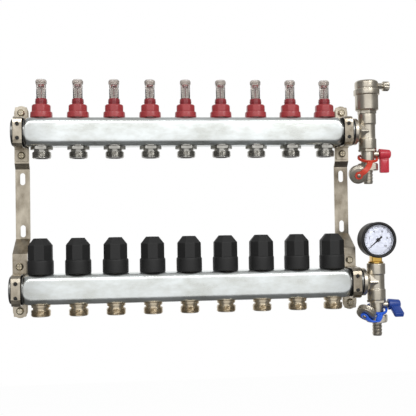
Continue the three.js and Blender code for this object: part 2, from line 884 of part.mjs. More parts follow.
function gaugePointer() {
  const lift = -dialY + seatGap; // towards the front, from the dial
  const needle = new THREE.Shape();
  needle.moveTo(-pointerTail, -1.4);
  needle.lineTo(-pointerTail, 1.4);
  needle.lineTo(0, 0.9);
  needle.lineTo(pointerLength, 0.3);
  needle.lineTo(pointerLength, -0.3);
  needle.lineTo(0, -0.9);
  const blade = solidOf(
    new THREE.ExtrudeGeometry(needle, { depth: 0.6, bevelEnabled: false }),
  ).rotate([0, 0, pointerZeroAngle]);
  const hub = cylinder(5.5, 0, 1.6, 12);
  const spindle = cylinder(spindleDiameter, -dialThickness - seatGap - 4, 0.3, 10);
  return towardsFront(all(blade, hub, spindle).translate([0, 0, lift]));
}

// ---------------------------------------------------------------- materials
const metal = (color, roughness) =>
  new THREE.MeshStandardMaterial({ color, roughness, metalness: 1 });
const plastic = (color, roughness, extra = {}) =>
  new THREE.MeshStandardMaterial({ color, roughness, metalness: 0, ...extra });
const materials = {
  stainless: metal(0xd3d6d6, 0.32),
  zinc: metal(0xb0a594, 0.35),
  nickel: metal(0xb7ada0, 0.3),
  brass: metal(0xc9a04c, 0.3),
  redPlastic: plastic(0xb23a3f, 0.4),
  orangePlastic: plastic(0xb5402a, 0.5),
  bluePlastic: plastic(0x1e4fb8, 0.4),
  blackPlastic: plastic(0x232323, 0.6),
  clearPlastic: plastic(0xe6e3dc, 0.1, { transparent: true, opacity: 0.35 }),
  whiteDial: plastic(0xdfe2ec, 0.6),
};

// ---------------------------------------------------------------- assembly
const manifold = new THREE.Group();

function addPiece(name, solid, material, place, turn = [0, 0, 0]) {
  const mesh = new THREE.Mesh(geometryOf(solid), material);
  mesh.name = name;
  mesh.position.set(...place);
  mesh.rotation.set(...turn.map(THREE.MathUtils.degToRad));
  manifold.add(mesh);
}

const supplyAxis = (x) => [x, bars.supply.y, bars.supply.z];
const returnAxis = (x) => [x, bars.return.y, bars.return.z];
const lifted = ([x, y, z], height) => [x, y, z + height];

addPiece(
  "supply_bar",
  bar(true, bossDiameter, bossHeight, rodDiameter + 2 * runningGap),
  materials.stainless,
  supplyAxis(0),
);
addPiece("return_bar", bar(false, valveNeckDiameter, valveNeckHeight, valvePinBore), materials.stainless, returnAxis(0));

for (const [side, x] of [["left", 0], ["right", clampSpan]]) {
  addPiece(`bracket_${side}`, bracket(), materials.zinc, [x, 0, 0]);
  addPiece(`supply_clamp_${side}`, clamp(), materials.zinc, supplyAxis(x));
  addPiece(`return_clamp_${side}`, clamp(), materials.zinc, returnAxis(x));
}

for (let k = 0; k < circuits; k++) {
  const onSupply = lifted(supplyAxis(circuitX(k)), barTop);
  const onReturn = lifted(returnAxis(circuitX(k)), barTop);
  addPiece(`meter_collar_${k + 1}`, meterCollar(), materials.redPlastic, onSupply);
  addPiece(`meter_tube_${k + 1}`, meterTube(), materials.clearPlastic, onSupply);
  addPiece(`meter_float_${k + 1}`, meterFloat(), materials.redPlastic, onSupply);
  addPiece(`hand_cap_${k + 1}`, handCap(), materials.blackPlastic, onReturn);
}

addPiece("supply_tee", tee(), materials.nickel, supplyAxis(teeX));
addPiece("return_tee", tee(), materials.nickel, returnAxis(teeX));
addPiece("vent_body", ventBody(), materials.nickel, lifted(supplyAxis(teeX), teeTop));
addPiece("vent_screw", ventScrew(), materials.nickel, lifted(supplyAxis(teeX), teeTop));

const drains = [
  {
    bar: "supply",
    axis: supplyAxis(teeX),
    turn: 0,
    plastic: [materials.redPlastic, materials.orangePlastic],
    strap: {
      eye: [-21, -24, -39.5],
      faces: [-0.1, -0.93, -0.35],
      ribbonSide: [0.74, -0.3, 0.6],
      bends: [[-3, -18, -22], [-7, -24, -27]],
      underside: false,
    },
  },
  {
    bar: "return",
    axis: returnAxis(teeX),
    turn: returnLeverTurn,
    plastic: [materials.bluePlastic, materials.bluePlastic],
    strap: {
      eye: [-25, -23, -20],
      faces: [-0.52, -0.5, -0.69],
      ribbonSide: [0.79, 0, -0.61],
      bends: [[-2, -18.5, -21.5], [-8, -24, -27]],
      underside: true,
    },
  },
];
for (const drain of drains) {
  const foot = lifted(drain.axis, -teeBottom);
  const { strap, cap } = strapAndCap(drain.strap);
  addPiece(`${drain.bar}_drain_valve`, drainValve(), materials.nickel, foot);
  addPiece(
    `${drain.bar}_drain_lever`,
    lever(),
    drain.plastic[0],
    lifted(foot, -stemDrop),
    [drain.turn, 0, 0],
  );
  addPiece(`${drain.bar}_cap_strap`, strap, drain.plastic[1], foot);
  addPiece(`${drain.bar}_drain_cap`, cap, materials.nickel, foot);
}

const dialCentre = lifted(returnAxis(teeX), teeTop + gaugeAboveTee);
addPiece("gauge_case", gaugeCase(), materials.blackPlastic, dialCentre);
addPiece("gauge_socket", gaugeSocket(), materials.brass, dialCentre);
addPiece("gauge_dial", gaugeDial(), materials.whiteDial, dialCentre);
addPiece("gauge_pointer", gaugePointer(), materials.blackPlastic, dialCentre);

export default manifold;
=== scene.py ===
"""Underfloor heating manifold: finished surfaces on the fixed frame.

Metres, +Z up, the wall is Y = 0 and the front faces -Y. Sizes inside the shape functions are
millimetres about each piece's own axis, and make() puts them where the frame says.
"""
import math

import bmesh
import bpy
import numpy as np
from mathutils import Matrix, Vector


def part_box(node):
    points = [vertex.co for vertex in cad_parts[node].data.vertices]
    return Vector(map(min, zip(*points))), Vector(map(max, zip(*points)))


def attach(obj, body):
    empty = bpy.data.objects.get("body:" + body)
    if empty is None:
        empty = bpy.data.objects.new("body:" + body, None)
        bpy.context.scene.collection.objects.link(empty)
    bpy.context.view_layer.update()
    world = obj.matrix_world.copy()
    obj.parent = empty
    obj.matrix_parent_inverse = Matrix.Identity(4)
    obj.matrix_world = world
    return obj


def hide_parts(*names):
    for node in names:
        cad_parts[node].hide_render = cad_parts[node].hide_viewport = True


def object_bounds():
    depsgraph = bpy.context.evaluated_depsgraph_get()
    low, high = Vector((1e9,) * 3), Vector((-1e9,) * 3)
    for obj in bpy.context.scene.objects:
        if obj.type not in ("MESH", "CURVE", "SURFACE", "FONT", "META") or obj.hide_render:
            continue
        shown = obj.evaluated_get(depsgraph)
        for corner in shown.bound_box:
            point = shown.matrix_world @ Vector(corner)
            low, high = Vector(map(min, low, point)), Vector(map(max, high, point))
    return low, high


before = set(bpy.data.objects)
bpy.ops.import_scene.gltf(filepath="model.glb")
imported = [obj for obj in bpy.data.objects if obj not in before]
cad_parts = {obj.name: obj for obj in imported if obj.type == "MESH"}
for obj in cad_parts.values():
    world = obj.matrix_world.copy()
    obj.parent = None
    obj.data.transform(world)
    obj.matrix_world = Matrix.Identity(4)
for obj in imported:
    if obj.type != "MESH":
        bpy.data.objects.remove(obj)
cad_box = [list(corner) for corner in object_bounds()]
MM = 0.001
CIRCUITS = sum(1 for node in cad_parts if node.startswith("meter_collar_"))
SIDES = ("left", "right")

# Sizes that several pieces share, in millimetres.
SEAT_GAP = 0.3
BAR_RISE = 20.0  # bar's axis to its top
BAR_DEPTH = 18.0  # bar's axis to its flat front
BAR_CORNER = 9.0
BAR_WALL = 1.5
NECK_RADIUS = 18.5
NECK_BORE = 15.15
CLAMP_HOLD = 19.3  # bar's axis to the inside of a clamp
CLAMP_SHEET = 2.0
SCREW_REACH = 30.0  # bar's axis to a clamp's screws
HOLE_REACH = 9.5  # bar's axis to the holes in a clamp's front
TEE_RISE = 25.5  # bar's axis to either mouth of a tee
GAUGE_RISE = 33.0  # tee's upper mouth to the dial's centre
STEM_DROP = 7.0  # tee's lower mouth to the lever's stem


# ---------------------------------------------------------------- places read from the frame
def corners(node):
    """Lowest and highest corner of a node, in metres."""
    low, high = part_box(node)
    return np.array(low, float), np.array(high, float)


def middle(node):
    """Centre of a node's box, in metres."""
    low, high = corners(node)
    return (low + high) / 2


def bar_tops():
    """Where each bar's meters or hand caps stand: on its top, the seat's gap under their edges."""
    places = {}
    for bar, kind in (("supply", "meter_collar"), ("return", "hand_cap")):
        rows = []
        for k in range(1, CIRCUITS + 1):
            low, high = corners(f"{kind}_{k}")
            rows.append([(low[0] + high[0]) / 2, (low[1] + high[1]) / 2, low[2] - SEAT_GAP * MM])
        places[bar] = np.array(rows)
    return places


tops = bar_tops()
bars = {bar: rows[0] - [0, 0, BAR_RISE * MM] for bar, rows in tops.items()}
clamp_x = [middle(f"bracket_{side}")[0] for side in SIDES]
tee_x = middle("gauge_dial")[0]


# ---------------------------------------------------------------- surfaces
def grid_faces(rows, columns, close_columns=True, close_rows=False):
    """Quads of a rows by columns grid, joined round in either direction."""
    i = np.arange(rows if close_rows else rows - 1)
    j = np.arange(columns if close_columns else columns - 1)
    i, j = np.meshgrid(i, j, indexing="ij")
    i2, j2 = (i + 1) % rows, (j + 1) % columns
    quads = np.stack([i * columns + j, i2 * columns + j, i2 * columns + j2, i * columns + j2], -1)
    return quads.reshape(-1, 4)


def fillet(points, radius, steps=3, closed=False):
    """A polyline with each corner replaced by a quadratic arc that starts radius before it."""
    points = np.asarray(points, float)
    before, after = np.roll(points, 1, 0), np.roll(points, -1, 0)
    to_before, to_after = before - points, after - points
    gap_before = np.linalg.norm(to_before, axis=1, keepdims=True)
    gap_after = np.linalg.norm(to_after, axis=1, keepdims=True)
    cut = np.minimum(radius, np.minimum(gap_before, gap_after) * 0.45)
    start = points + to_before / np.maximum(gap_before, 1e-9) * cut
    end = points + to_after / np.maximum(gap_after, 1e-9) * cut
    t = np.linspace(0, 1, steps + 1)[None, :, None]
    arcs = (1 - t) ** 2 * start[:, None] + 2 * t * (1 - t) * points[:, None] + t**2 * end[:, None]
    if closed:
        return arcs.reshape(-1, points.shape[1])
    inner = arcs[1:-1].reshape(-1, points.shape[1])
    return np.vstack([points[:1], inner, points[-1:]])


def flats_limit(theta, sides, across, soften=1.0, turn=0.0):
    """Radius of a regular polygon at an angle: half its width across flats over the cosine of the
    angle from the nearest flat, and no more than its corner radius times soften."""
    step = 2 * math.pi / sides
    off = (theta - turn + step / 2) % step - step / 2
    radius = across / 2 / np.cos(off)
    return np.minimum(radius, across / 2 / math.cos(step / 2) * soften)


def flats(sides, across, soften=0.985, turn=0.0):
    """The same polygon at every height, as a limit for turned()."""
    return lambda theta, z: flats_limit(theta, sides, across, soften, turn)


def turned(profile, segments=48, limit=None, loop=False):
    """A body of revolution about Z. Point (i, j) is at profile radius i and angle j, and limit, if
    given, holds the radius down to what limit(theta, z) returns, which cuts flats and flutes."""
    profile = np.asarray(profile, float)
    theta = np.linspace(0, 2 * math.pi, segments, endpoint=False)
    radius = np.repeat(profile[:, :1], segments, 1)
    z = np.repeat(profile[:, 1:2], segments, 1)
    if limit is not None:
        radius = np.minimum(radius, limit(theta[None, :], z))
    points = np.stack([radius * np.cos(theta), radius * np.sin(theta), z], -1)
    return points.reshape(-1, 3), grid_faces(len(profile), segments, True, loop)


def turned_ring(profile, radius, segments, limit=None):
    """A solid ring about Z: the closed profile with its corners rounded by radius."""
    return turned(fillet(profile, radius, closed=True), segments, limit, loop=True)


def arc_strip(section, angles, height=0.0):
    """A closed section of (radius, height) points carried over the angles, with both ends shut."""
    section = np.array(section)
    points = np.stack([section[:, :1] * np.cos(angles), section[:, :1] * np.sin(angles),
                       section[:, 1:] + height + 0 * angles], -1)
    first = np.arange(len(section)) * len(angles)
    caps = np.stack([first, first + len(angles) - 1])
    faces = grid_faces(len(section), len(angles), False, True)
    return points.reshape(-1, 3), np.vstack([faces, caps])


def along_x(part):
    """The same part with its Z axis laid along +X."""
    points, faces = part
    return points[:, [2, 1, 0]] * [1, 1, -1], faces


def along_minus_x(part):
    """The same part with its Z axis laid along -X."""
    points, faces = part
    return points[:, [2, 1, 0]] * [-1, 1, 1], faces


def to_front(part):
    """The same part with its Z axis laid along -Y."""
    points, faces = part
    return points[:, [0, 2, 1]] * [1, -1, 1], faces


def moved(part, x=0.0, y=0.0, z=0.0):
    """The same part, shifted."""
    return part[0] + [x, y, z], part[1]


def slab(outline, low, high, edge=0.6, steps=3):
    """A flat plate over a closed outline in X and Y, from Z low to high. Its rims are quarter
    rounds: the outline drawn in by edge times one minus the sine, as the height runs by the
    cosine. Both faces close on the outline's centre."""
    outline = np.asarray(outline, float)
    tangent = np.roll(outline, -1, 0) - np.roll(outline, 1, 0)
    normal = np.stack([tangent[:, 1], -tangent[:, 0]], -1)
    normal /= np.maximum(np.linalg.norm(normal, axis=1, keepdims=True), 1e-9)
    a = np.linspace(0, math.pi / 2, steps + 1)
    draw = np.concatenate([edge * (1 - np.sin(a)), edge * (1 - np.cos(a))])
    height = np.concatenate([low + edge * (1 - np.cos(a)), high - edge * (1 - np.sin(a))])
    rings = outline[None] - normal[None] * draw[:, None, None]
    z = np.broadcast_to(height[:, None, None], rings.shape[:2] + (1,))
    rings = np.concatenate([rings, z], -1)
    centre = np.append(outline.mean(0), 0.0)
    first = np.broadcast_to(centre * [1, 1, 0] + [0, 0, low], rings[:1].shape)
    last = np.broadcast_to(centre * [1, 1, 0] + [0, 0, high], rings[:1].shape)
    rings = np.concatenate([first, rings, last])
    return rings.reshape(-1, 3), grid_faces(len(rings), len(outline))


def rounded_rectangle(width, height, radius, steps=5):
    """Closed outline of four quarter circles, counter-clockwise."""
    a = np.linspace(0, math.pi / 2, steps + 1)
    corner = [width / 2 - radius, height / 2 - radius]
    centres = np.array([[1, 1], [-1, 1], [-1, -1], [1, -1]]) * corner
    turns = np.arange(4)[:, None] * math.pi / 2 + a[None]
    arcs = np.stack([np.cos(turns), np.sin(turns)], -1) * radius + centres[:, None]
    return arcs.reshape(-1, 2)


def framed(part, origin, x_axis, y_axis, z_axis):
    """The part carried into the frame of three directions at an origin."""
    basis = np.array([x_axis, y_axis, z_axis], float)
    return part[0] @ basis + np.asarray(origin, float), part[1]


def catmull(points, count):
    """A smooth curve through points: cubic Hermite spans whose slopes are half the step between
    each point's neighbours. Returns places and unit tangents."""
    p = np.asarray(points, float)
    slope = np.gradient(p, axis=0)
    s = np.linspace(0, len(p) - 1, count)
    k = np.minimum(s.astype(int), len(p) - 2)
    t = (s - k)[:, None]
    a, b, m, n = p[k], p[k + 1], slope[k], slope[k + 1]
    place = (
        (2 * t**3 - 3 * t**2 + 1) * a
        + (t**3 - 2 * t**2 + t) * m
        + (3 * t**2 - 2 * t**3) * b
        + (t**3 - t**2) * n
    )
    tangent = np.gradient(place, axis=0)
    return place, tangent / np.linalg.norm(tangent, axis=1, keepdims=True)


def linked(name, data):
    """A new object in the scene, at the origin."""
    piece = bpy.data.objects.new(name, data)
    bpy.context.scene.collection.objects.link(piece)
    return piece


def make(name, parts, material, body, at=(0, 0, 0), sharp=38, turn=None, replaces=()):
    """One object from one or more parts in millimetres, turned, then placed by at (metres). Doubled
    points are merged, faces point outwards and edges sharper than sharp degrees stay crisp."""
    points, faces, base = [], [], 0
    for part_points, part_faces in parts if isinstance(parts, list) else [parts]:
        points.append(part_points)
        faces.append(part_faces + base)
        base += len(part_points)
    points = np.vstack(points) * MM
    if turn is not None:
        points = points @ turn.T
    points = points + np.asarray(at, float)
    mesh = bpy.data.meshes.new(name)
    mesh.from_pydata(points.tolist(), [], np.vstack(faces).tolist())
    work = bmesh.new()
    work.from_mesh(mesh)
    bmesh.ops.remove_doubles(work, verts=work.verts, dist=2e-6)
    bmesh.ops.dissolve_degenerate(work, edges=work.edges, dist=1e-7)
    bmesh.ops.recalc_face_normals(work, faces=work.faces)
    work.to_mesh(mesh)
    work.free()
    mesh.shade_smooth()
    mesh.set_sharp_from_angle(angle=math.radians(sharp))
    mesh.materials.append(material)
    piece = linked(name, mesh)
    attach(piece, body)
    if replaces:
        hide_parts(*replaces)
    return piece


def turn_x(degrees):
    """A turn about X."""
    return np.array(Matrix.Rotation(math.radians(degrees), 3, "X"))


# ---------------------------------------------------------------- shader expressions
class Wire:
    """A socket that works in Python sums: each operator adds its Math node."""

    def __init__(self, nodes, socket):
        self.nodes, self.socket = nodes, socket

    def math(self, operation, other):
        """A Math node of this wire and another wire or number."""
        return self.nodes.add("ShaderNodeMath", {"operation": operation}, {0: self, 1: other})

    def __add__(self, other):
        return self.math("ADD", other)

    def __mul__(self, other):
        return self.math("MULTIPLY", other)

    def larger(self, other):
        """The larger of the two."""
        return self.math("MAXIMUM", other)

    __radd__ = __add__
    __rmul__ = __mul__


class Nodes:
    """A node tree, with one method that adds any node and short forms of those used most."""

    def __init__(self, tree):
        self.tree = tree

    def put(self, socket, value):
        """Links a wire to a socket or sets its value, where three numbers make a colour."""
        if isinstance(value, Wire):
            self.tree.links.new(value.socket, socket)
        elif socket.type == "RGBA" and len(value) == 3:
            socket.default_value = (*value, 1)
        else:
            socket.default_value = value

    def add(self, kind, settings=None, inputs=None, output=0):
        """A node of a kind: its settings or a ramp's stops first, then its sockets."""
        node = self.tree.nodes.new(kind)
        for key, value in (settings or {}).items():
            if key == "stops":
                for element, (at, color) in zip(node.color_ramp.elements, value):
                    element.position = at
                    element.color = (*color, 1)
            else:
                setattr(node, key, value)
        for key, value in (inputs or {}).items():
            self.put(node.inputs[key], value)
        return Wire(self, node.outputs[output])

    def blend(self, factor, first, second):
        """The first colour where the factor is 0, the second where it is 1."""
        return self.add("ShaderNodeMix", {"data_type": "RGBA"}, {0: factor, 6: first, 7: second}, 2)

    def ramp(self, value, low, high):
        """0 at low, 1 at high, straight between."""
        return self.add("ShaderNodeMapRange", {}, {0: value, 1: low, 2: high, 3: 0.0, 4: 1.0})

    def along(self, axis, vector):
        """One part of a vector."""
        return self.add("ShaderNodeSeparateXYZ", {}, {0: vector}, axis)

    def looked_at(self):
        """1 for camera, glossy and transmission rays, 0 for the light that a matt surface gathers."""
        camera, glossy, clear = (
            self.add("ShaderNodeLightPath", output=f"Is {kind} Ray")
            for kind in ("Camera", "Glossy", "Transmission")
        )
        return camera.larger(glossy).larger(clear)


class Finish(Nodes):
    """One material's node tree, with its Principled shader ready."""

    def __init__(self, name, color, roughness, metallic=0.0):
        self.material = bpy.data.materials.new(name)
        self.material.use_nodes = True
        super().__init__(self.material.node_tree)
        self.shader = self.tree.nodes["Principled BSDF"]
        self.set({"Base Color": color, "Roughness": roughness, "Metallic": metallic})

    def set(self, values):
        """Fills sockets of the Principled shader."""
        for key, value in values.items():
            self.put(self.shader.inputs[key], value)

    def show(self, shader):
        """Puts another shader in the place of the Principled one."""
        self.put(self.tree.nodes["Material Output"].inputs["Surface"], shader)

    def glow(self, brightness):
        """A shader that gives off its own light."""
        color = (brightness, brightness, brightness)
        return self.add("ShaderNodeEmission", {}, {"Color": color, "Strength": 1.0})

    def place(self, scale=(1, 1, 1)):
        """Object coordinates, stretched."""
        coordinates = self.add("ShaderNodeTexCoord", output="Object")
        return self.add("ShaderNodeMapping", {}, {"Vector": coordinates, "Scale": scale})

    def noise(self, scale, stretch=(1, 1, 1), detail=3.0, roughness=0.55):
        """Clouds of 0 to 1 over the object, scale of them to the metre."""
        return self.add(
            "ShaderNodeTexNoise",
            {},
            {"Vector": self.place(stretch), "Scale": scale, "Detail": detail, "Roughness": roughness},
        )

    def bump(self, height, depth, strength=1.0):
        """Height as a relief of depth metres."""
        relief = {"Height": height, "Distance": depth, "Strength": strength}
        self.set({"Normal": self.add("ShaderNodeBump", {}, relief)})


def linear(red, green, blue):
    """Screen values of 0 to 255 as linear light."""
    values = np.array([red, green, blue]) / 255
    light = np.where(values < 0.04045, values / 12.92, ((values + 0.055) / 1.055) ** 2.4)
    return tuple(light.tolist())


def brushed_stainless():
    """Fine scratches along the bar: noise drawn out nearly 190 times along X moves the roughness
    and a hair-thin relief, over slow clouds of tone, as from handling, that the roughness follows.
    Painted shade greys both ends over the last 40 mm, and darker painted shade lies on the turned
    necks."""
    m = Finish("brushed_stainless", linear(226, 232, 231), 0.3, 1.0)
    scratch = m.noise(1.0, (14, 2600, 2600), 4)
    cloud = m.noise(26.0, (1, 1.5, 2), 5, 0.62)
    along = m.along("X", m.place())
    first, last = clamp_x
    # Painted shade: the bar greys over the last 40 mm towards each clamp.
    end_painted_shade = m.ramp(along, first + 0.055, first + 0.015) + m.ramp(along, last - 0.055, last - 0.015)
    # Painted shade: the turned necks beyond the clamps are darkened further.
    neck = m.ramp(along, first + 0.011, first + 0.007) + m.ramp(along, last - 0.011, last - 0.007)
    unshaded_tone = m.blend(m.ramp(cloud, 0.36, 0.62), linear(214, 217, 213), linear(238, 243, 243))
    # The grey that the ends and necks blend to is the painted shade colour.
    color = m.blend(end_painted_shade * 0.3 + neck * 0.6, unshaded_tone, linear(96, 94, 90))
    m.set({"Base Color": color, "Roughness": scratch * 0.16 + cloud * 0.2 + 0.13})
    m.bump(scratch, 0.00003, 0.5)
    return m.material


def rolled_plate(name, first, second, roughness):
    """Plated sheet steel: slow clouds and a fine grain in tone and roughness."""
    m = Finish(name, first, roughness, 1.0)
    cloud = m.noise(55.0, (1, 1, 0.6), 4)
    grain = m.noise(1400.0, detail=2)
    color = m.blend(m.ramp(cloud, 0.32, 0.68), first, second)
    m.set({"Base Color": color, "Roughness": cloud * 0.14 + grain * 0.1 + (roughness - 0.12)})
    m.bump(grain, 0.00004, 0.35)
    return m.material


def plated_brass(name, first, second, roughness):
    """Bare brass, or nickel over a blasted casting: fine pits under a soft sheen, in two tones."""
    m = Finish(name, first, roughness, 1.0)
    cloud = m.noise(70.0, detail=4)
    grain = m.noise(2100.0, detail=2)
    color = m.blend(m.ramp(cloud, 0.3, 0.7), first, second)
    m.set({"Base Color": color, "Roughness": cloud * 0.12 + grain * 0.06 + (roughness - 0.09)})
    m.bump(grain, 0.00004, 0.3)
    return m.material


def moulded(name, color, roughness, relief=0.00003, tone=0.86, coat=None):
    """Moulded plastic: a fine spark-eroded grain and a slight change of tone, under a gloss coat
    where its weight and roughness are given."""
    m = Finish(name, color, roughness)
    if coat:
        m.set({"Coat Weight": coat[0], "Coat Roughness": coat[1]})
    grain = m.noise(1700.0, detail=2)
    cloud = m.noise(60.0, detail=3)
    darker = tuple(c * tone for c in color)
    tones = m.blend(m.ramp(cloud, 0.3, 0.7), darker, color)
    m.set({"Base Color": tones, "Roughness": grain * 0.1 + cloud * 0.08 + (roughness - 0.09)})
    m.bump(grain, relief, 0.4)
    return m.material


def clear_plastic():
    """Clear tube with a thin gloss coat and a haze that moves its roughness."""
    m = Finish("clear_tube_plastic", linear(222, 216, 211), 0.06)
    m.set({"Transmission Weight": 0.94, "IOR": 1.46, "Coat Weight": 0.3, "Coat Roughness": 0.05})
    m.set({"Roughness": m.noise(300.0, detail=3) * 0.08 + 0.03})
    return m.material


def front_glass():
    """Thin glass over the dial, which hardly bends the light, with a faint smear."""
    m = Finish("gauge_glass", (1, 1, 1), 0.03)
    m.set({"Transmission Weight": 1.0, "IOR": 1.1})
    m.set({"Roughness": m.noise(60.0, detail=3) * 0.05 + 0.01})
    return m.material


stainless = brushed_stainless()
zinc = rolled_plate("warm_zinc_plate", linear(132, 122, 106), linear(206, 197, 180), 0.3)
nickel = plated_brass("satin_nickel", linear(188, 180, 165), linear(212, 205, 191), 0.33)
cool_nickel = plated_brass("cool_nickel", linear(160, 158, 152), linear(190, 188, 182), 0.24)
warm_nickel = plated_brass("warm_nickel", linear(186, 172, 148), linear(214, 202, 180), 0.3)
screw_zinc = rolled_plate("screw_zinc", linear(190, 178, 152), linear(216, 206, 182), 0.22)
brass = plated_brass("golden_brass", linear(205, 165, 80), linear(224, 188, 108), 0.24)
red_collar = moulded("red_collar_plastic", linear(152, 50, 53), 0.36, coat=(0.25, 0.2))
red_ring = moulded("red_ring_plastic", linear(128, 36, 42), 0.22, coat=(0.4, 0.1))
float_red = moulded("float_red_plastic", linear(178, 30, 36), 0.3)
clear = clear_plastic()
scale_print = moulded("scale_print", linear(48, 44, 44), 0.6)
cap_black = moulded("cap_black_plastic", linear(22, 22, 22), 0.6, 0.00006, 0.8)
rubber = moulded("black_rubber", linear(26, 25, 24), 0.7, 0.00008, 0.8)
red_lever = moulded("red_lever_plastic", linear(178, 28, 48), 0.36, coat=(0.2, 0.25))
orange_strap = moulded("orange_strap_plastic", linear(190, 52, 28), 0.46)
blue_lever = moulded("blue_lever_plastic", linear(12, 56, 138), 0.4, coat=(0.2, 0.25))
blue_strap = moulded("blue_strap_plastic", linear(24, 88, 206), 0.44)
gauge_black = moulded("gauge_case_black", linear(12, 12, 13), 0.5, 0.00002, 0.85)
dial_white = moulded("dial_face_white", linear(222, 226, 240), 0.55, 0.00001, 0.97)
dial_ink = moulded("dial_ink", linear(28, 28, 32), 0.6)
glass = front_glass()


# ---------------------------------------------------------------- bars
def bar_section(half_width, half_height, radius, steps=10):
    """Rounded rectangle in Y and Z whose three sizes are arrays over the stations along X. With
    all three equal it is a circle, so one formula carries the neck into the bar."""
    a = np.linspace(0, math.pi / 2, steps + 1)
    turns = (np.arange(4)[:, None] * math.pi / 2 + a[None]).ravel()
    signs_y = np.repeat([1, -1, -1, 1], steps + 1)
    signs_z = np.repeat([1, 1, -1, -1], steps + 1)
    w, h, r = (np.asarray(v, float)[:, None] for v in (half_width, half_height, radius))
    y = signs_y * (w - r) + r * np.cos(turns)
    z = signs_z * (h - r) + r * np.sin(turns)
    return y, z


def bar_shell(span, neck, wall=0.0):
    """The bar and its two necks as stations along X, with the neck's radius given and the bar
    drawn in by wall. Over each shoulder the sizes run from neck to bar by a quarter circle, the
    root of t times two less t, which rounds the corners of the flat front face."""
    overhang, start, shoulder = 10.0, 8.5, 12.0
    x = np.concatenate(
        [
            [-overhang, -overhang + 0.5, -6, 0, 4, 8.2],
            start + shoulder * (1 - np.cos(np.linspace(0, math.pi / 2, 15))),
            np.linspace(start + shoulder + 8, span / 2, 12),
        ]
    )
    x = np.concatenate([x, span - x[-2::-1]])
    t = np.clip((np.minimum(x, span - x) - start) / shoulder, 0, 1)
    s = np.sqrt(t * (2 - t))
    sizes = (BAR_DEPTH, BAR_RISE, BAR_CORNER)
    width, height, corner = (neck + (size - wall - neck) * s for size in sizes)
    if not wall:
        ends = np.minimum(x - x[0], x[-1] - x)
        trim = np.where(ends < 0.4, 0.5, 0.0)
        width, height, corner = width - trim, height - trim, corner - trim
    y, z = bar_section(width, height, corner)
    return np.stack([np.broadcast_to(x[:, None], y.shape), y, z], -1)


def bar_body(span):
    """The bar's sheet: the outer shell, and the inner one run backwards to join both at the ends."""
    outer, inner = bar_shell(span, NECK_RADIUS), bar_shell(span, NECK_BORE, BAR_WALL)[::-1]
    rings = np.concatenate([outer, inner])
    return rings.reshape(-1, 3), grid_faces(len(rings), rings.shape[1], True, True)


def thread(radius, low, high, pitch, depth, bore, segments=48):
    """A screw thread on a tube: the root's radius, plus depth times a flat-topped triangle wave of
    the height over the pitch less the angle over a full turn. It fades out at both ends."""
    rows = int((high - low) / pitch * 8) + 1
    z = np.linspace(low, high, rows)[:, None]
    theta = np.linspace(0, 2 * math.pi, segments, endpoint=False)[None]
    phase = (z / pitch - theta / (2 * math.pi)) % 1
    ridge = 1 - np.abs(2 * phase - 1)
    fade = np.clip(np.minimum(z - low, high - z) / (pitch * 0.6), 0, 1)
    r = radius - depth + depth * np.clip(ridge * 1.3, 0, 1) * fade
    r = np.vstack([np.full((1, segments), bore), r, np.full((1, segments), bore)])
    z = np.vstack([z[:1], z, z[-1:]]) + 0 * r
    points = np.stack([r * np.cos(theta), r * np.sin(theta), z], -1)
    return points.reshape(-1, 3), grid_faces(len(z), segments, True, True)


def nipple(hex_flange):
    """Outlet nipple below the bar, about its own axis with the bar's axis at height 0: collar,
    flange with six flats or round, groove, G3/4 thread and mouth."""
    bore = 9.0
    reach = 15.4 if hex_flange else 12.45
    collar = [(bore, -18.4), (14.6, -18.4), (14.6, -19.6), (13.2, -20.6), (13.2, -21.0), (bore, -21.0)]
    flange = [(bore, -20.2), (reach, -20.2), (reach, -24.0), (bore, -24.0)]
    groove = [(bore, -23.8), (10.5, -23.8), (10.5, -27.4), (bore, -27.4)]
    mouth = [(bore, -35.2), (11.9, -35.2), (11.9, -36.0), (bore, -36.0)]
    return [
        turned_ring(flange, 0.6, 72, flats(6, 27.0, turn=math.pi / 2) if hex_flange else None),
        turned(collar, 48, loop=True),
        turned(groove, 40, loop=True),
        thread(13.2, -35.6, -27.0, 1.814, 1.1, bore, 56),
        turned_ring(mouth, 0.4, 40),
    ]


def liner():
    """Rubber band between a clamp and its neck, 14 mm wide, with a low lip at both edges."""
    band = [(18.3, -7.0), (20.0, -7.0), (20.0, -6.3), (19.25, -6.2), (19.25, 6.2), (20.0, 6.3),
            (20.0, 7.0), (18.3, 7.0)]
    return along_x(turned_ring(band, 0.4, 64))


span = (clamp_x[1] - clamp_x[0]) / MM
bar_nickel = {"supply": cool_nickel, "return": warm_nickel}
for name, axis in bars.items():
    origin = np.array([clamp_x[0], axis[1], axis[2]])
    make(f"{name}_bar_body", bar_body(span), stainless, "manifold", origin, replaces=(f"{name}_bar",))
    for k, top in enumerate(tops[name]):
        at = [top[0], axis[1], axis[2]]
        make(f"{name}_nipple_{k + 1}", nipple(name == "supply"), bar_nickel[name], "manifold", at)
    for side, x in zip(SIDES, clamp_x):
        make(f"{name}_liner_{side}", liner(), rubber, "manifold", [x, axis[1], axis[2]])


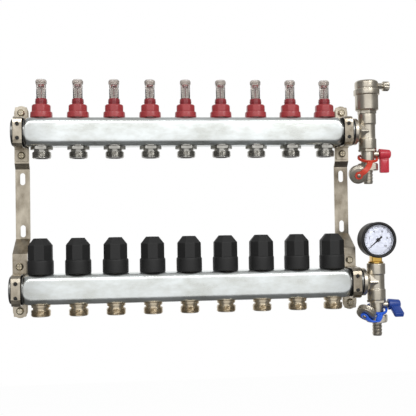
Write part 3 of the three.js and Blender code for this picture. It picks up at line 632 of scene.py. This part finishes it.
# ---------------------------------------------------------------- clamps, brackets and screws
def screw_head():
    """Pan head with a cross recess: two crossed slots sunk into a low dome."""
    dome = [(0, 3.3), (2.0, 3.3), (3.6, 2.9), (4.8, 2.0), (5.25, 1.0), (5.25, 0.0), (0, 0.0)]
    rows = fillet(dome, 0.5)
    theta = np.linspace(0, 2 * math.pi, 48, endpoint=False)
    fine = np.linspace(0, 3.4, 12)
    rows = np.vstack([np.stack([fine, np.full(12, 3.3)], -1), rows[rows[:, 0] > 3.5], [[0, 0]]])
    r, z = rows[:, :1] + 0 * theta, rows[:, 1:] + 0 * theta
    x, y = r * np.cos(theta), r * np.sin(theta)
    arm = np.minimum(np.abs(x), np.abs(y))
    sink = np.clip((0.75 - arm) / 0.25, 0, 1) * np.clip((2.9 - r) / 0.5, 0, 1) * (z > 2)
    points = np.stack([x, y, z - 1.5 * sink], -1)
    return points.reshape(-1, 3), grid_faces(len(rows), 48)


def clamp_button():
    """Rubber button that holds the liner in a clamp's hole: a low dome inside a rolled rim."""
    dome = [(0, 2.45), (1.2, 2.4), (2.1, 2.25), (2.6, 1.9), (2.6, -0.5), (0, -0.5)]
    return to_front(turned(fillet(dome, 0.2), 40))


def clamp_eyelet():
    """Rolled rim round a clamp's hole: a thin ring 0.4 mm proud of the sheet."""
    rim = [(2.55, 1.2), (2.55, 2.25), (2.85, 2.4), (3.15, 2.1), (3.15, 1.2)]
    return to_front(turned_ring(rim, 0.15, 48))


for name, axis in bars.items():
    foot = axis[1] + (CLAMP_HOLD - SEAT_GAP - CLAMP_SHEET) * MM
    front = axis[1] - CLAMP_HOLD * MM
    for side, x in zip(SIDES, clamp_x):
        for where, reach in (("upper", SCREW_REACH), ("lower", -SCREW_REACH)):
            at = [x, foot, axis[2] + reach * MM]
            make(f"{name}_screw_{side}_{where}", to_front(screw_head()), screw_zinc, "manifold", at)
        for where, reach in (("upper", HOLE_REACH), ("lower", -HOLE_REACH)):
            at = [x, front, axis[2] + reach * MM]
            make(f"{name}_button_{side}_{where}", clamp_button(), rubber, "manifold", at)
            make(f"{name}_eyelet_{side}_{where}", clamp_eyelet(), zinc, "manifold", at)


def recolour(prefix, material):
    """Gives every frame piece whose name starts with prefix its finished material."""
    for node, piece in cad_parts.items():
        if node.startswith(prefix):
            for slot in piece.material_slots:
                slot.material = material


for prefix in ("bracket_", "supply_clamp_", "return_clamp_"):
    recolour(prefix, zinc)


# ---------------------------------------------------------------- flow meters
def meter_collar():
    """Red collar about its own axis, standing on the bar's top: a round skirt, then an upper part
    whose radius is held to an octagon, then a bevel."""
    skirt = [(10.6, 0.3), (15.0, 0.3), (15.3, 1.2), (15.0, 7.6), (14.2, 8.6), (10.6, 8.6)]
    grip = [(6.4, 8.2), (13.3, 8.2), (13.1, 16.8), (11.7, 18.5), (6.4, 18.5)]
    return [
        turned_ring(skirt, 0.5, 64),
        turned_ring(grip, 0.6, 80, flats(8, 25.2, turn=math.pi / 2)),
    ]


def meter_ring():
    """Red ring above the collar, round the tube's foot, with a bevelled top and a raised band."""
    ring = [(6.35, 18.2), (8.2, 18.2), (8.2, 25.8), (7.5, 27.0), (6.35, 27.0)]
    rib = [(6.35, 21.6), (8.6, 21.6), (8.6, 23.0), (6.35, 23.0)]
    return [turned_ring(ring, 0.4, 48), turned_ring(rib, 0.3, 48)]


def meter_tube():
    """Clear tube with a plain bore and a slightly wider head, closed by a dome."""
    outer = [(5.95, 8.3), (5.95, 27.3), (6.75, 27.3), (6.75, 46.6), (7.35, 47.4), (7.35, 52.0),
             (6.6, 53.4), (4.0, 54.0), (0, 54.0)]
    inner = [(0, 50.8), (4.2, 50.8), (5.1, 50.0), (5.1, 8.3)]
    return turned(fillet(outer + inner + [outer[0]], 0.35, 2), 48)


def meter_head_cap():
    """Clear knurled rim of the head: shallow ribs, radius 7.4 plus 0.14 times the cosine of 30
    turns round it."""
    ribs = lambda theta, z: 7.4 + 0.14 * np.cos(30 * theta) + 0 * z
    rim = [(6.9, 47.6), (8.0, 47.6), (8.0, 51.8), (6.9, 51.8)]
    return turned_ring(rim, 0.3, 120, ribs)


def scale_marks():
    """Level marks on the tube's front: bands 0.54 mm high, 1.6 mm apart, every second one over
    nearly a third of a turn and the rest over half as much."""
    band = [(6.77, -0.27), (6.86, -0.27), (6.86, 0.27), (6.77, 0.27)]
    marks = []
    for i, height in enumerate(np.arange(28.8, 43.5, 1.6)):
        half = 0.95 if i % 2 == 0 else 0.5
        angles = np.linspace(-math.pi / 2 - half, -math.pi / 2 + half, 14)
        marks.append(arc_strip(band, angles, height))
    return marks


def meter_float():
    """Thin rod with a small disc on its top."""
    rod = [(0, -13.0), (1.2, -13.0), (1.2, 26.0), (0.55, 27.0), (0.55, 43.6), (4.4, 44.0), (4.6, 44.4),
           (4.6, 46.6), (4.2, 47.0), (0, 47.0)]
    return turned(fillet(rod, 0.25, 2), 32)


for k in range(CIRCUITS):
    at = tops["supply"][k]
    number, head = k + 1, f"meter_head_{k + 1}"
    make(f"meter_{number}_collar", meter_collar(), red_collar, head, at, 30,
         replaces=(f"meter_collar_{number}",))
    make(f"meter_{number}_ring", meter_ring(), red_ring, head, at)
    make(f"meter_{number}_tube", meter_tube(), clear, head, at, replaces=(f"meter_tube_{number}",))
    make(f"meter_{number}_rim", meter_head_cap(), clear, head, at)
    make(f"meter_{number}_scale", scale_marks(), scale_print, head, at)
    make(f"meter_{number}_float", meter_float(), float_red, f"meter_rod_{number}", at,
         replaces=(f"meter_float_{number}",))
    boss = [(1.7, -1.0), (10.0, -1.0), (10.0, 8.0), (1.7, 8.0)]
    make(f"meter_{number}_boss", turned_ring(boss, 0.4, 40), cool_nickel, "manifold", at)


# ---------------------------------------------------------------- hand caps
def hand_cap():
    """Black cap: a round skirt under a grip of eight flats. Above 39 mm the flats lean in, by 0.78
    of the rise, to the flat top."""
    outer = np.array([(15.6, 0.3), (17.0, 0.3), (17.5, 1.2), (17.5, 17.6), (16.9, 18.6), (17.2, 19.2),
                      (17.0, 39.0), (9.3, 48.3), (0, 48.5)])
    profile = fillet(outer, 0.5, 3)
    rise = np.linspace(19.5, 39.0, 5)[1:-1]
    middle_rows = np.stack([np.interp(rise, [19.2, 39.0], [17.2, 17.0]), rise], -1)
    split = np.searchsorted(profile[:, 1], 22.0)
    profile = np.vstack([profile[:split], middle_rows, profile[split:]])
    inner = [(0, 20.0), (10.6, 20.0), (10.6, 2.0), (15.6, 0.3)]
    profile = np.vstack([profile, inner])

    def limit(theta, z):
        across = np.where(z > 39.0, 31.6 - 2 * (z - 39.0) * 0.78, 31.6)
        grip = flats_limit(theta, 8, across, 1.0, math.pi / 2)
        blend = np.clip((z - 18.6) / 0.9, 0, 1)
        return np.where(z > 18.6, grip * blend + 17.5 * (1 - blend), 40.0)

    return turned(profile, 96, limit)


for k in range(CIRCUITS):
    at = tops["return"][k]
    number, body = k + 1, f"return_cap_{k + 1}"
    make(f"hand_cap_{number}_shell", hand_cap(), cap_black, body, at, 22,
         replaces=(f"hand_cap_{number}",))
    neck = [(1.6, -1.0), (10.0, -1.0), (10.0, 14.0), (1.6, 14.0)]
    make(f"valve_neck_{number}", turned_ring(neck, 0.4, 40), warm_nickel, "manifold", at)


# ---------------------------------------------------------------- tees
def tee_run():
    """The upright run: a plain barrel with a thicker collar round each mouth."""
    half = [(11.5, 9.6), (12.75, 11.0), (12.75, 24.9), (12.2, TEE_RISE), (9.3, TEE_RISE)]
    run = [(radius, -height) for radius, height in half[::-1]] + half
    return turned_ring(run, 0.6, 64)


def tee_branch():
    """The branch towards the bar, with its flange, cone and spanner flats."""
    branch = [(7.5, 1.0), (10.4, 1.0), (10.4, 11.0), (18.2, 16.6), (19.2, 17.4), (19.2, 22.0),
              (18.6, 22.2), (15.0, 22.2), (14.8, 30.0), (8.3, 30.0)]
    hexagon = [(5.0, 1.0), (14.0, 1.0), (14.0, 13.0), (5.0, 13.0)]
    return [
        along_minus_x(turned_ring(branch, 0.5, 64)),
        along_minus_x(turned_ring(hexagon, 0.5, 72, flats(6, 22.0, 0.98))),
    ]


for name, axis in bars.items():
    at = [tee_x, axis[1], axis[2]]
    make(f"{name}_tee_body", [tee_run()] + tee_branch(), nickel, "manifold", at, 32,
         replaces=(f"{name}_tee",))
    gasket = [(15.3, 22.2), (18.9, 22.2), (18.9, 23.0), (15.3, 23.0)]
    make(f"{name}_gasket", along_minus_x(turned_ring(gasket, 0.2, 64)), rubber, "manifold", at)


# ---------------------------------------------------------------- air vent
def vent_shell():
    """Float chamber about its axis, standing on the tee: hexagon, drum, wide band, lid."""
    drum = [(9.0, -8.0), (9.0, 0.3), (11.0, 0.3), (11.0, 4.6), (14.6, 4.6), (16.5, 6.2), (16.5, 27.0),
            (18.5, 28.0), (18.5, 34.6), (17.6, 35.4), (16.2, 35.6), (16.2, 37.2), (16.7, 37.8),
            (16.7, 45.8), (14.6, 48.0), (0, 48.0)]
    inside = [(0, 45.0), (13.5, 45.0), (13.5, 7.5), (4.5, 7.5), (4.5, -8.0), (9.0, -8.0)]
    hexagon = [(6.0, 0.3), (14.2, 0.3), (14.2, 4.9), (6.0, 4.9)]
    return [turned(fillet(drum + inside, 0.5), 80), turned_ring(hexagon, 0.5, 72, flats(6, 24.0))]


def vent_nipple(height):
    """Side outlet at a height: a stub along +X with a small hexagon round it."""
    stub = [(0, 14.0), (3.0, 14.0), (3.0, 29.0), (0, 29.0)]
    nut = [(0, 14.5), (4.9, 14.5), (4.9, 22.0), (0, 22.0)]
    return [
        moved(along_x(turned(fillet(stub, 0.3), 32)), z=height),
        moved(along_x(turned(fillet(nut, 0.4), 60, flats(6, 8.5, 0.98))), z=height),
    ]


def vent_screw(height):
    """Small screw cap with coarse knurling: radius 6.7 plus 0.3 times the cosine of 20 turns."""
    cap = [(3.4, 24.0), (6.3, 24.0), (7.0, 24.8), (7.0, 32.0), (6.2, 33.0), (0, 33.0), (0, 29.4),
           (3.4, 29.4)]
    knurl = lambda theta, z: np.where((z > 25) & (z < 32), 6.7 + 0.3 * np.cos(20 * theta), 7.0)
    return moved(along_x(turned(fillet(cap + [cap[0]], 0.4), 100, knurl)), z=height)


vent_at = np.array([tee_x, bars["supply"][1], bars["supply"][2] + TEE_RISE * MM])
vent_height = (middle("vent_screw")[2] - vent_at[2]) / MM
make("vent_shell", vent_shell() + vent_nipple(vent_height), nickel, "manifold", vent_at, 32,
     replaces=("vent_body",))
make("vent_knob_cap", vent_screw(vent_height), nickel, "vent_knob", vent_at, replaces=("vent_screw",))


# ---------------------------------------------------------------- drain valves, levers and caps
def drain_valve():
    """Valve body about its axis, below the tee: hexagon, barrel, union nut and barbed tail."""
    barrel = [(4.5, 8.0), (9.0, 8.0), (9.0, -0.3), (9.5, -0.3), (9.5, -20.6), (4.5, -20.6)]
    collar = [(4.5, -0.3), (13.8, -0.3), (13.8, -3.3), (4.5, -3.3)]
    nut = [(4.5, -20.5), (13.6, -20.5), (15.5, -22.2), (15.5, -29.4), (13.6, -31.0), (4.5, -31.0)]
    tail = [(4.5, -30.5), (6.2, -30.5)]
    for k in range(4):
        top = -31.2 - 4.6 * k
        tail += [(6.0, top), (7.0, top - 0.5), (6.1, top - 4.4)]
    tail += [(5.8, -50.0), (4.5, -50.0)]
    boss = [(0, 4.0), (4.5, 4.0), (4.5, 15.4), (3.9, 16.0), (0, 16.0)]
    stem = [(0, 15.0), (3.0, 15.0), (3.0, 26.8), (0, 26.8)]
    return [
        turned_ring(barrel, 0.4, 64),
        turned_ring(collar, 0.5, 72, flats(6, 24.0, turn=math.pi / 2)),
        turned_ring(nut, 0.4, 72, flats(6, 27.0, turn=math.pi / 2)),
        turned(fillet(tail, 0.25, 2, closed=True), 48, loop=True),
        moved(along_x(turned(fillet(boss, 0.4), 40)), z=-STEM_DROP),
        moved(along_x(turned(fillet(stem, 0.3), 32)), z=-STEM_DROP),
    ]


def lever():
    """Handle about the stem's axis: a tapered hub along X with a closed end, and a blade that
    hangs from it with a low raised panel on both faces."""
    near, far, bore_end = 16.3, 33.3, 27.4
    hub = [(3.4, near), (7.0, near), (7.75, near + 1.0), (6.4, far - 1.4), (5.2, far), (0, far),
           (0, bore_end), (3.4, bore_end)]
    parts = [along_x(turned(fillet(hub + [hub[0]], 0.6), 56))]
    width = 13.0
    centre = near + 1.5 + width / 2
    outline = rounded_rectangle(width, 23.4, 1.8)
    panel = rounded_rectangle(9.4, 16.5, 1.0)
    axes = ([1, 0, 0], [0, 0, 1], [0, -1, 0])
    parts.append(framed(slab(outline, -3.1, 3.1, 0.8), [centre, 0, -15.3], *axes))
    for low, high in ((2.9, 3.5), (-3.5, -2.9)):
        parts.append(framed(slab(panel, low, high, 0.25, 2), [centre, 0, -16.6], *axes))
    return parts


def cap_frame(eye, faces, ribbon_side):
    """A hanging cap's frame: its eye, then the ways to the ribbon, across it, and out of the
    cap's closed face."""
    outer = np.array(faces, float) / np.linalg.norm(faces)
    upper = np.cross(outer, ribbon_side)
    upper /= np.linalg.norm(upper)
    return np.array(eye, float), np.cross(upper, outer), upper, outer


def strap(eye, faces, ribbon_side, bends, underside):
    """Soft strap about the valve's axis: a flat ring tilted by 25 degrees, a ribbon whose upper
    face turns evenly from the ring's to the eye's, and the eye."""
    origin, side, upper, outer = cap_frame(eye, faces, ribbon_side)
    tilt = math.radians(25)
    height = -13.0  # round the barrel, above the union nut
    steps = 40
    ring = turned_ring([(11.9, -1.7), (14.6, -1.7), (14.9, 1.5), (11.9, 1.7)], 0.5, 72)
    normal = np.array([0, -math.sin(tilt), math.cos(tilt)])
    slope = [0, math.cos(tilt), math.sin(tilt)]
    radius = 13.375  # about the middle of the ring's width
    start = np.array([0, -radius * math.cos(tilt), height - radius * math.sin(tilt)])
    path = [start, *np.array(bends, float), origin + 11 * side, origin + 11 / 3 * side]
    place, along = catmull(path, steps)
    t = np.linspace(0, 1, steps)[:, None]
    first = -normal if underside else normal
    face = first * (1 - t) + outer * t
    across = np.cross(face, along)
    across /= np.linalg.norm(across, axis=1, keepdims=True)
    face = np.cross(along, across)
    section = rounded_rectangle(7.4, 1.8, 0.6, 3)
    offset = across[:, None] * section[None, :, :1] + face[:, None] * section[None, :, 1:]
    rings = place[:, None] + offset
    shut = np.concatenate([place[:1, None] + 0 * rings[:1], rings, place[-1:, None] + 0 * rings[:1]])
    ribbon = (shut.reshape(-1, 3), grid_faces(len(shut), len(section)))
    eye_ring = turned_ring([(2.3, -0.8), (5.5, -0.8), (5.5, 0.8), (2.3, 0.8)], 0.4, 40)
    return [
        framed(ring, [0, 0, height], [1, 0, 0], slope, normal),
        ribbon,
        framed(eye_ring, origin, side, upper, outer),
    ]


def drain_cap(eye, faces, ribbon_side):
    """Screw cap that hangs from the eye by its rivet: a cup with a ribbed rim and a low step on
    its closed face."""
    origin, side, upper, outer = cap_frame(eye, faces, ribbon_side)
    cup = [(0, -1.7), (10.4, -1.7), (10.8, -2.1), (12.2, -2.2), (13.0, -3.0), (13.0, -10.2),
           (12.5, -10.7), (11.0, -10.7), (11.0, -4.7), (0, -4.7)]
    ribs = lambda theta, z: np.where((z > -10) & (z < -3.2), 12.8 + 0.2 * np.cos(36 * theta), 13.0)
    rivet = [(0, -2.0), (2.0, -2.0), (2.0, 0.8), (2.9, 1.0), (2.6, 1.6), (1.6, 2.0), (0, 2.1)]
    return [
        framed(turned(fillet(cup, 0.35), 144, ribs), origin, side, upper, outer),
        framed(turned(fillet(rivet, 0.2), 32), origin, side, upper, outer),
    ]


# Where each cap's eye hangs, which way its closed face looks and which way its ribbon leaves.
hanging = {
    "supply": dict(eye=(-21, -24, -39.5), faces=(-0.1, -0.93, -0.35), ribbon_side=(0.74, -0.3, 0.6)),
    "return": dict(eye=(-25, -23, -20), faces=(-0.52, -0.5, -0.69), ribbon_side=(0.79, 0, -0.61)),
}
bends = {"supply": [(-3, -18, -22), (-7, -24, -27)], "return": [(-2, -18.5, -21.5), (-8, -24, -27)]}
lever_turn = {"supply": 0, "return": -62}
finishes = {"supply": (red_lever, orange_strap), "return": (blue_lever, blue_strap)}
for name, axis in bars.items():
    foot = np.array([tee_x, axis[1], axis[2] - TEE_RISE * MM])
    stem = foot - [0, 0, STEM_DROP * MM]
    lever_finish, strap_finish = finishes[name]
    make(f"{name}_valve_body", drain_valve(), nickel, "manifold", foot, 32,
         replaces=(f"{name}_drain_valve",))
    make(f"{name}_lever_handle", lever(), lever_finish, f"{name}_lever", stem, 32,
         turn=turn_x(lever_turn[name]), replaces=(f"{name}_drain_lever",))
    make(f"{name}_strap_band", strap(**hanging[name], bends=bends[name], underside=name == "return"),
         strap_finish, f"{name}_tether", foot, replaces=(f"{name}_cap_strap",))
    make(f"{name}_cap_cup", drain_cap(**hanging[name]), nickel, f"{name}_tether", foot,
         replaces=(f"{name}_drain_cap",))


# ---------------------------------------------------------------- pressure gauge
DIAL_START = 222  # the zero mark, in degrees from the right
DIAL_SWEEP = 264
DIAL_FRONT = 12.0  # gauge's centre to the dial's printed face
dial_at = np.array([tee_x, bars["return"][1], bars["return"][2] + (TEE_RISE + GAUGE_RISE) * MM])


def gauge_case():
    """Round case about the dial's axis, open at the front, with a rolled bezel."""
    case = [(0, -10.0), (19.5, -10.0), (22.6, -9.2), (24.2, -7.0), (24.2, 11.4), (25.0, 12.2),
            (25.0, 15.8), (24.4, 16.9), (22.4, 17.0), (20.9, 16.1), (20.9, 14.2), (22.3, 13.6),
            (22.3, -8.0), (0, -8.0)]
    return to_front(turned(fillet(case, 0.7), 96))


def gauge_lens():
    """Glass over the dial, a little thicker in its middle."""
    lens = [(0, 14.4), (21.0, 14.3), (21.0, 15.2), (12.0, 15.7), (0, 15.9)]
    return to_front(turned(fillet(lens, 0.2), 64))


def gauge_socket():
    """Brass socket: a round stub, a flange, a square for the spanner and a block in the case."""
    stub = [(0, -41.0), (9.0, -41.0), (9.0, -32.7), (0, -32.7)]
    flange = [(0, -32.7), (10.5, -32.7), (10.5, -30.5), (0, -30.5)]
    square = rounded_rectangle(14.0, 14.0, 0.8, 3)
    block = rounded_rectangle(10.0, 18.0, 0.8, 3)
    return [
        turned(fillet(stub, 0.3), 48),
        turned(fillet(flange, 0.5), 64),
        slab(square, -30.6, -19.2, 0.5),
        moved(slab(block, -21.0, 5.0, 0.5), y=-1.5),
    ]


def dial_disc():
    """Flat white disc with a hole for the spindle."""
    disc = [(1.3, 11.0), (21.6, 11.0), (21.6, DIAL_FRONT), (1.3, DIAL_FRONT)]
    return to_front(turned_ring(disc, 0.15, 96))


def dial_angles(count):
    """Even steps from the zero mark at the lower left, clockwise over the whole scale."""
    return np.radians(DIAL_START - np.linspace(0, DIAL_SWEEP, count))


def tick(angle, inner, outer, width, low=DIAL_FRONT, high=DIAL_FRONT + 0.12):
    """A thin bar on the dial between two radii at an angle."""
    u = np.array([math.cos(angle), math.sin(angle)])
    v = np.array([-u[1], u[0]]) * width / 2
    flat = np.array([u * inner - v, u * outer - v, u * outer + v, u * inner + v])
    points = np.array([[*p, h] for h in (low, high) for p in flat])
    walls = [[0, 1, 5, 4], [1, 2, 6, 5], [2, 3, 7, 6], [3, 0, 4, 7]]
    return points, np.array([[0, 3, 2, 1], [4, 5, 6, 7], *walls])


def dial_print():
    """Scale of the dial: fifty small divisions, ten long ones and a thin ring."""
    parts = [tick(a, 18.0, 19.6, 0.22) for a in dial_angles(51)]
    parts += [tick(a, 16.6, 19.6, 0.5) for a in dial_angles(11)]
    ring = [(19.5, 0.0), (19.8, 0.0), (19.8, 0.12), (19.5, 0.12)]
    parts.append(arc_strip(ring, dial_angles(90), DIAL_FRONT))
    return [to_front(part) for part in parts]


def dial_number(text, angle, radius, size):
    """A plain number on the dial, 0.1 mm thick: a text curve made a mesh and turned to the front."""
    half_thickness = 0.05
    curve = bpy.data.curves.new(f"number_{text}", "FONT")
    curve.body, curve.size = text, size * MM
    curve.align_x, curve.align_y = "CENTER", "CENTER"
    curve.extrude = half_thickness * MM
    holder = linked(f"number_{text}", curve)
    solved = holder.evaluated_get(bpy.context.evaluated_depsgraph_get())
    mesh = bpy.data.meshes.new_from_object(solved)
    bpy.data.objects.remove(holder)
    out = -DIAL_FRONT - half_thickness
    offset = np.array([radius * math.cos(angle), out, radius * math.sin(angle)])
    place = Matrix.Translation(dial_at + offset * MM)
    mesh.transform(place @ Matrix.Rotation(math.pi / 2, 4, "X"))
    mesh.materials.clear()
    mesh.materials.append(dial_ink)
    piece = linked(f"dial_number_{text}", mesh)
    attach(piece, "manifold")


def pointer():
    """Needle at the zero mark: a thin tapered plate, its hub and the spindle behind it."""
    blade = [(-7, -1.4), (0, -0.9), (17, -0.3), (17, 0.3), (0, 0.9), (-7, 1.4)]
    outline = fillet(blade, 0.25, 2, closed=True)
    a = math.radians(DIAL_START)
    turn = np.array([[math.cos(a), math.sin(a)], [-math.sin(a), math.cos(a)]])
    needle = slab(outline @ turn, 12.3, 12.9, 0.12, 2)
    hub = [(0, 12.3), (2.75, 12.3), (2.75, 13.4), (2.2, 13.9), (0, 13.9)]
    spindle = [(0, 6.8), (1.0, 6.8), (1.0, 12.6), (0, 12.6)]
    return [to_front(needle), to_front(turned(fillet(hub, 0.3), 40)), to_front(turned(spindle, 24))]


make("gauge_shell", gauge_case(), gauge_black, "manifold", dial_at, 32, replaces=("gauge_case",))
make("gauge_glass_disc", gauge_lens(), glass, "manifold", dial_at)
make("gauge_brass_socket", gauge_socket(), brass, "manifold", dial_at, 32, replaces=("gauge_socket",))
make("dial_disc", dial_disc(), dial_white, "manifold", dial_at, replaces=("gauge_dial",))
make("dial_scale", dial_print(), dial_ink, "manifold", dial_at)
make("dial_needle", pointer(), dial_ink, "pointer", dial_at, replaces=("gauge_pointer",))
for index, value in enumerate(range(0, 12, 2)):
    dial_number(str(value), dial_angles(6)[index], 13.0, 4.6)


# ---------------------------------------------------------------- stage, light and camera
WHITE = (1.0, 1.0, 1.0)


def pale_floor():
    """Matt floor that is nine tenths white backdrop to camera, glossy and transmission rays, so that
    it has no edge, while it still lights the object as a grey floor does."""
    m = Finish("pale_floor", (0.86, 0.86, 0.86), 0.9)
    matt = Wire(m, m.shader.outputs[0])
    m.show(m.add("ShaderNodeMixShader", {}, {0: m.looked_at() * 0.9, 1: matt, 2: m.glow(1.0)}))
    return m.material


def stage_sheet(name, points, material):
    """One flat sheet of the studio."""
    mesh = bpy.data.meshes.new(name)
    mesh.from_pydata(points, [], [(0, 1, 2, 3)])
    mesh.materials.append(material)
    piece = linked(name, mesh)
    return piece


def card(name, points, brightness):
    """A flat studio card that only shows in reflections, at a given brightness."""
    m = Finish(name, (0, 0, 0), 1.0)
    m.show(m.glow(brightness))
    piece = stage_sheet(name, points, m.material)
    piece.visible_camera = piece.visible_diffuse = piece.visible_shadow = False
    piece.visible_transmission = piece.visible_volume_scatter = False


low, high = np.array(cad_box[0]), np.array(cad_box[1])
x0, x1, y0, y1, z0 = low[0] - 3, high[0] + 3, -3.5, 3.0, low[2] - 0.7
stage_sheet("floor", [(x0, y0, z0), (x1, y0, z0), (x1, y1, z0), (x0, y1, z0)], pale_floor())

left, right, front, back, up, down = low[0] - 1.2, high[0] + 1.2, -1.9, 1.2, 1.3, -0.85
for name, x, brightness in (("left_card", left, 0.2), ("right_card", right, 0.22)):
    card(name, [(x, front, down), (x, back, down), (x, back, up), (x, front, up)], brightness)
for name, z, brightness in (("low_card", down, 0.14), ("high_card", up, 0.4)):
    card(name, [(left, front, z), (right, front, z), (right, back, z), (left, back, z)], brightness)


def studio_world():
    """White to camera, glossy and transmission rays. What lights matt surfaces is white from above
    and a warm grey from below."""
    world = bpy.data.worlds.new("studio")
    world.use_nodes = True
    bpy.context.scene.world = world
    w = Nodes(world.node_tree)
    upward = w.along("Z", w.add("ShaderNodeTexCoord", output="Generated"))
    stops = [(0.25, (0.32, 0.31, 0.30)), (0.75, WHITE)]
    sky = w.add("ShaderNodeValToRGB", {"stops": stops}, {0: w.ramp(upward, -1, 1)})
    w.put(w.tree.nodes["Background"].inputs["Color"], w.blend(w.looked_at(), sky, WHITE))


studio_world()


def lamp(name, place, target, size, power):
    """A soft rectangular lamp at a place, facing a target."""
    light = bpy.data.lights.new(name, "AREA")
    light.shape, light.size, light.size_y, light.energy = "RECTANGLE", size[0], size[1], power
    piece = linked(name, light)
    piece.location = place
    piece.rotation_euler = (Vector(target) - Vector(place)).to_track_quat("-Z", "Y").to_euler()


centre = (low + high) / 2
lamp("key_lamp", (centre[0] + 0.9, -1.6, 1.2), tuple(centre), (0.8, 0.8), 16)
lamp("fill_lamp", (centre[0] - 0.5, -1.5, 1.1), tuple(centre), (0.9, 0.5), 7)

camera_data = bpy.data.cameras.new("camera")
camera_data.lens = 63.02
camera_data.sensor_width = 36
camera = linked("camera", camera_data)
turn = (
    Matrix.Rotation(-0.1029, 4, "Z")
    @ Matrix.Rotation(0.0221, 4, "X")
    @ Matrix.Rotation(0.0155, 4, "Y")
    @ Matrix.Rotation(math.pi / 2, 4, "X")
)
camera.matrix_world = Matrix.Translation((0.1541, -1.05, -0.0229)) @ turn
bpy.context.scene.camera = camera
bpy.context.scene.view_settings.view_transform = "Standard"
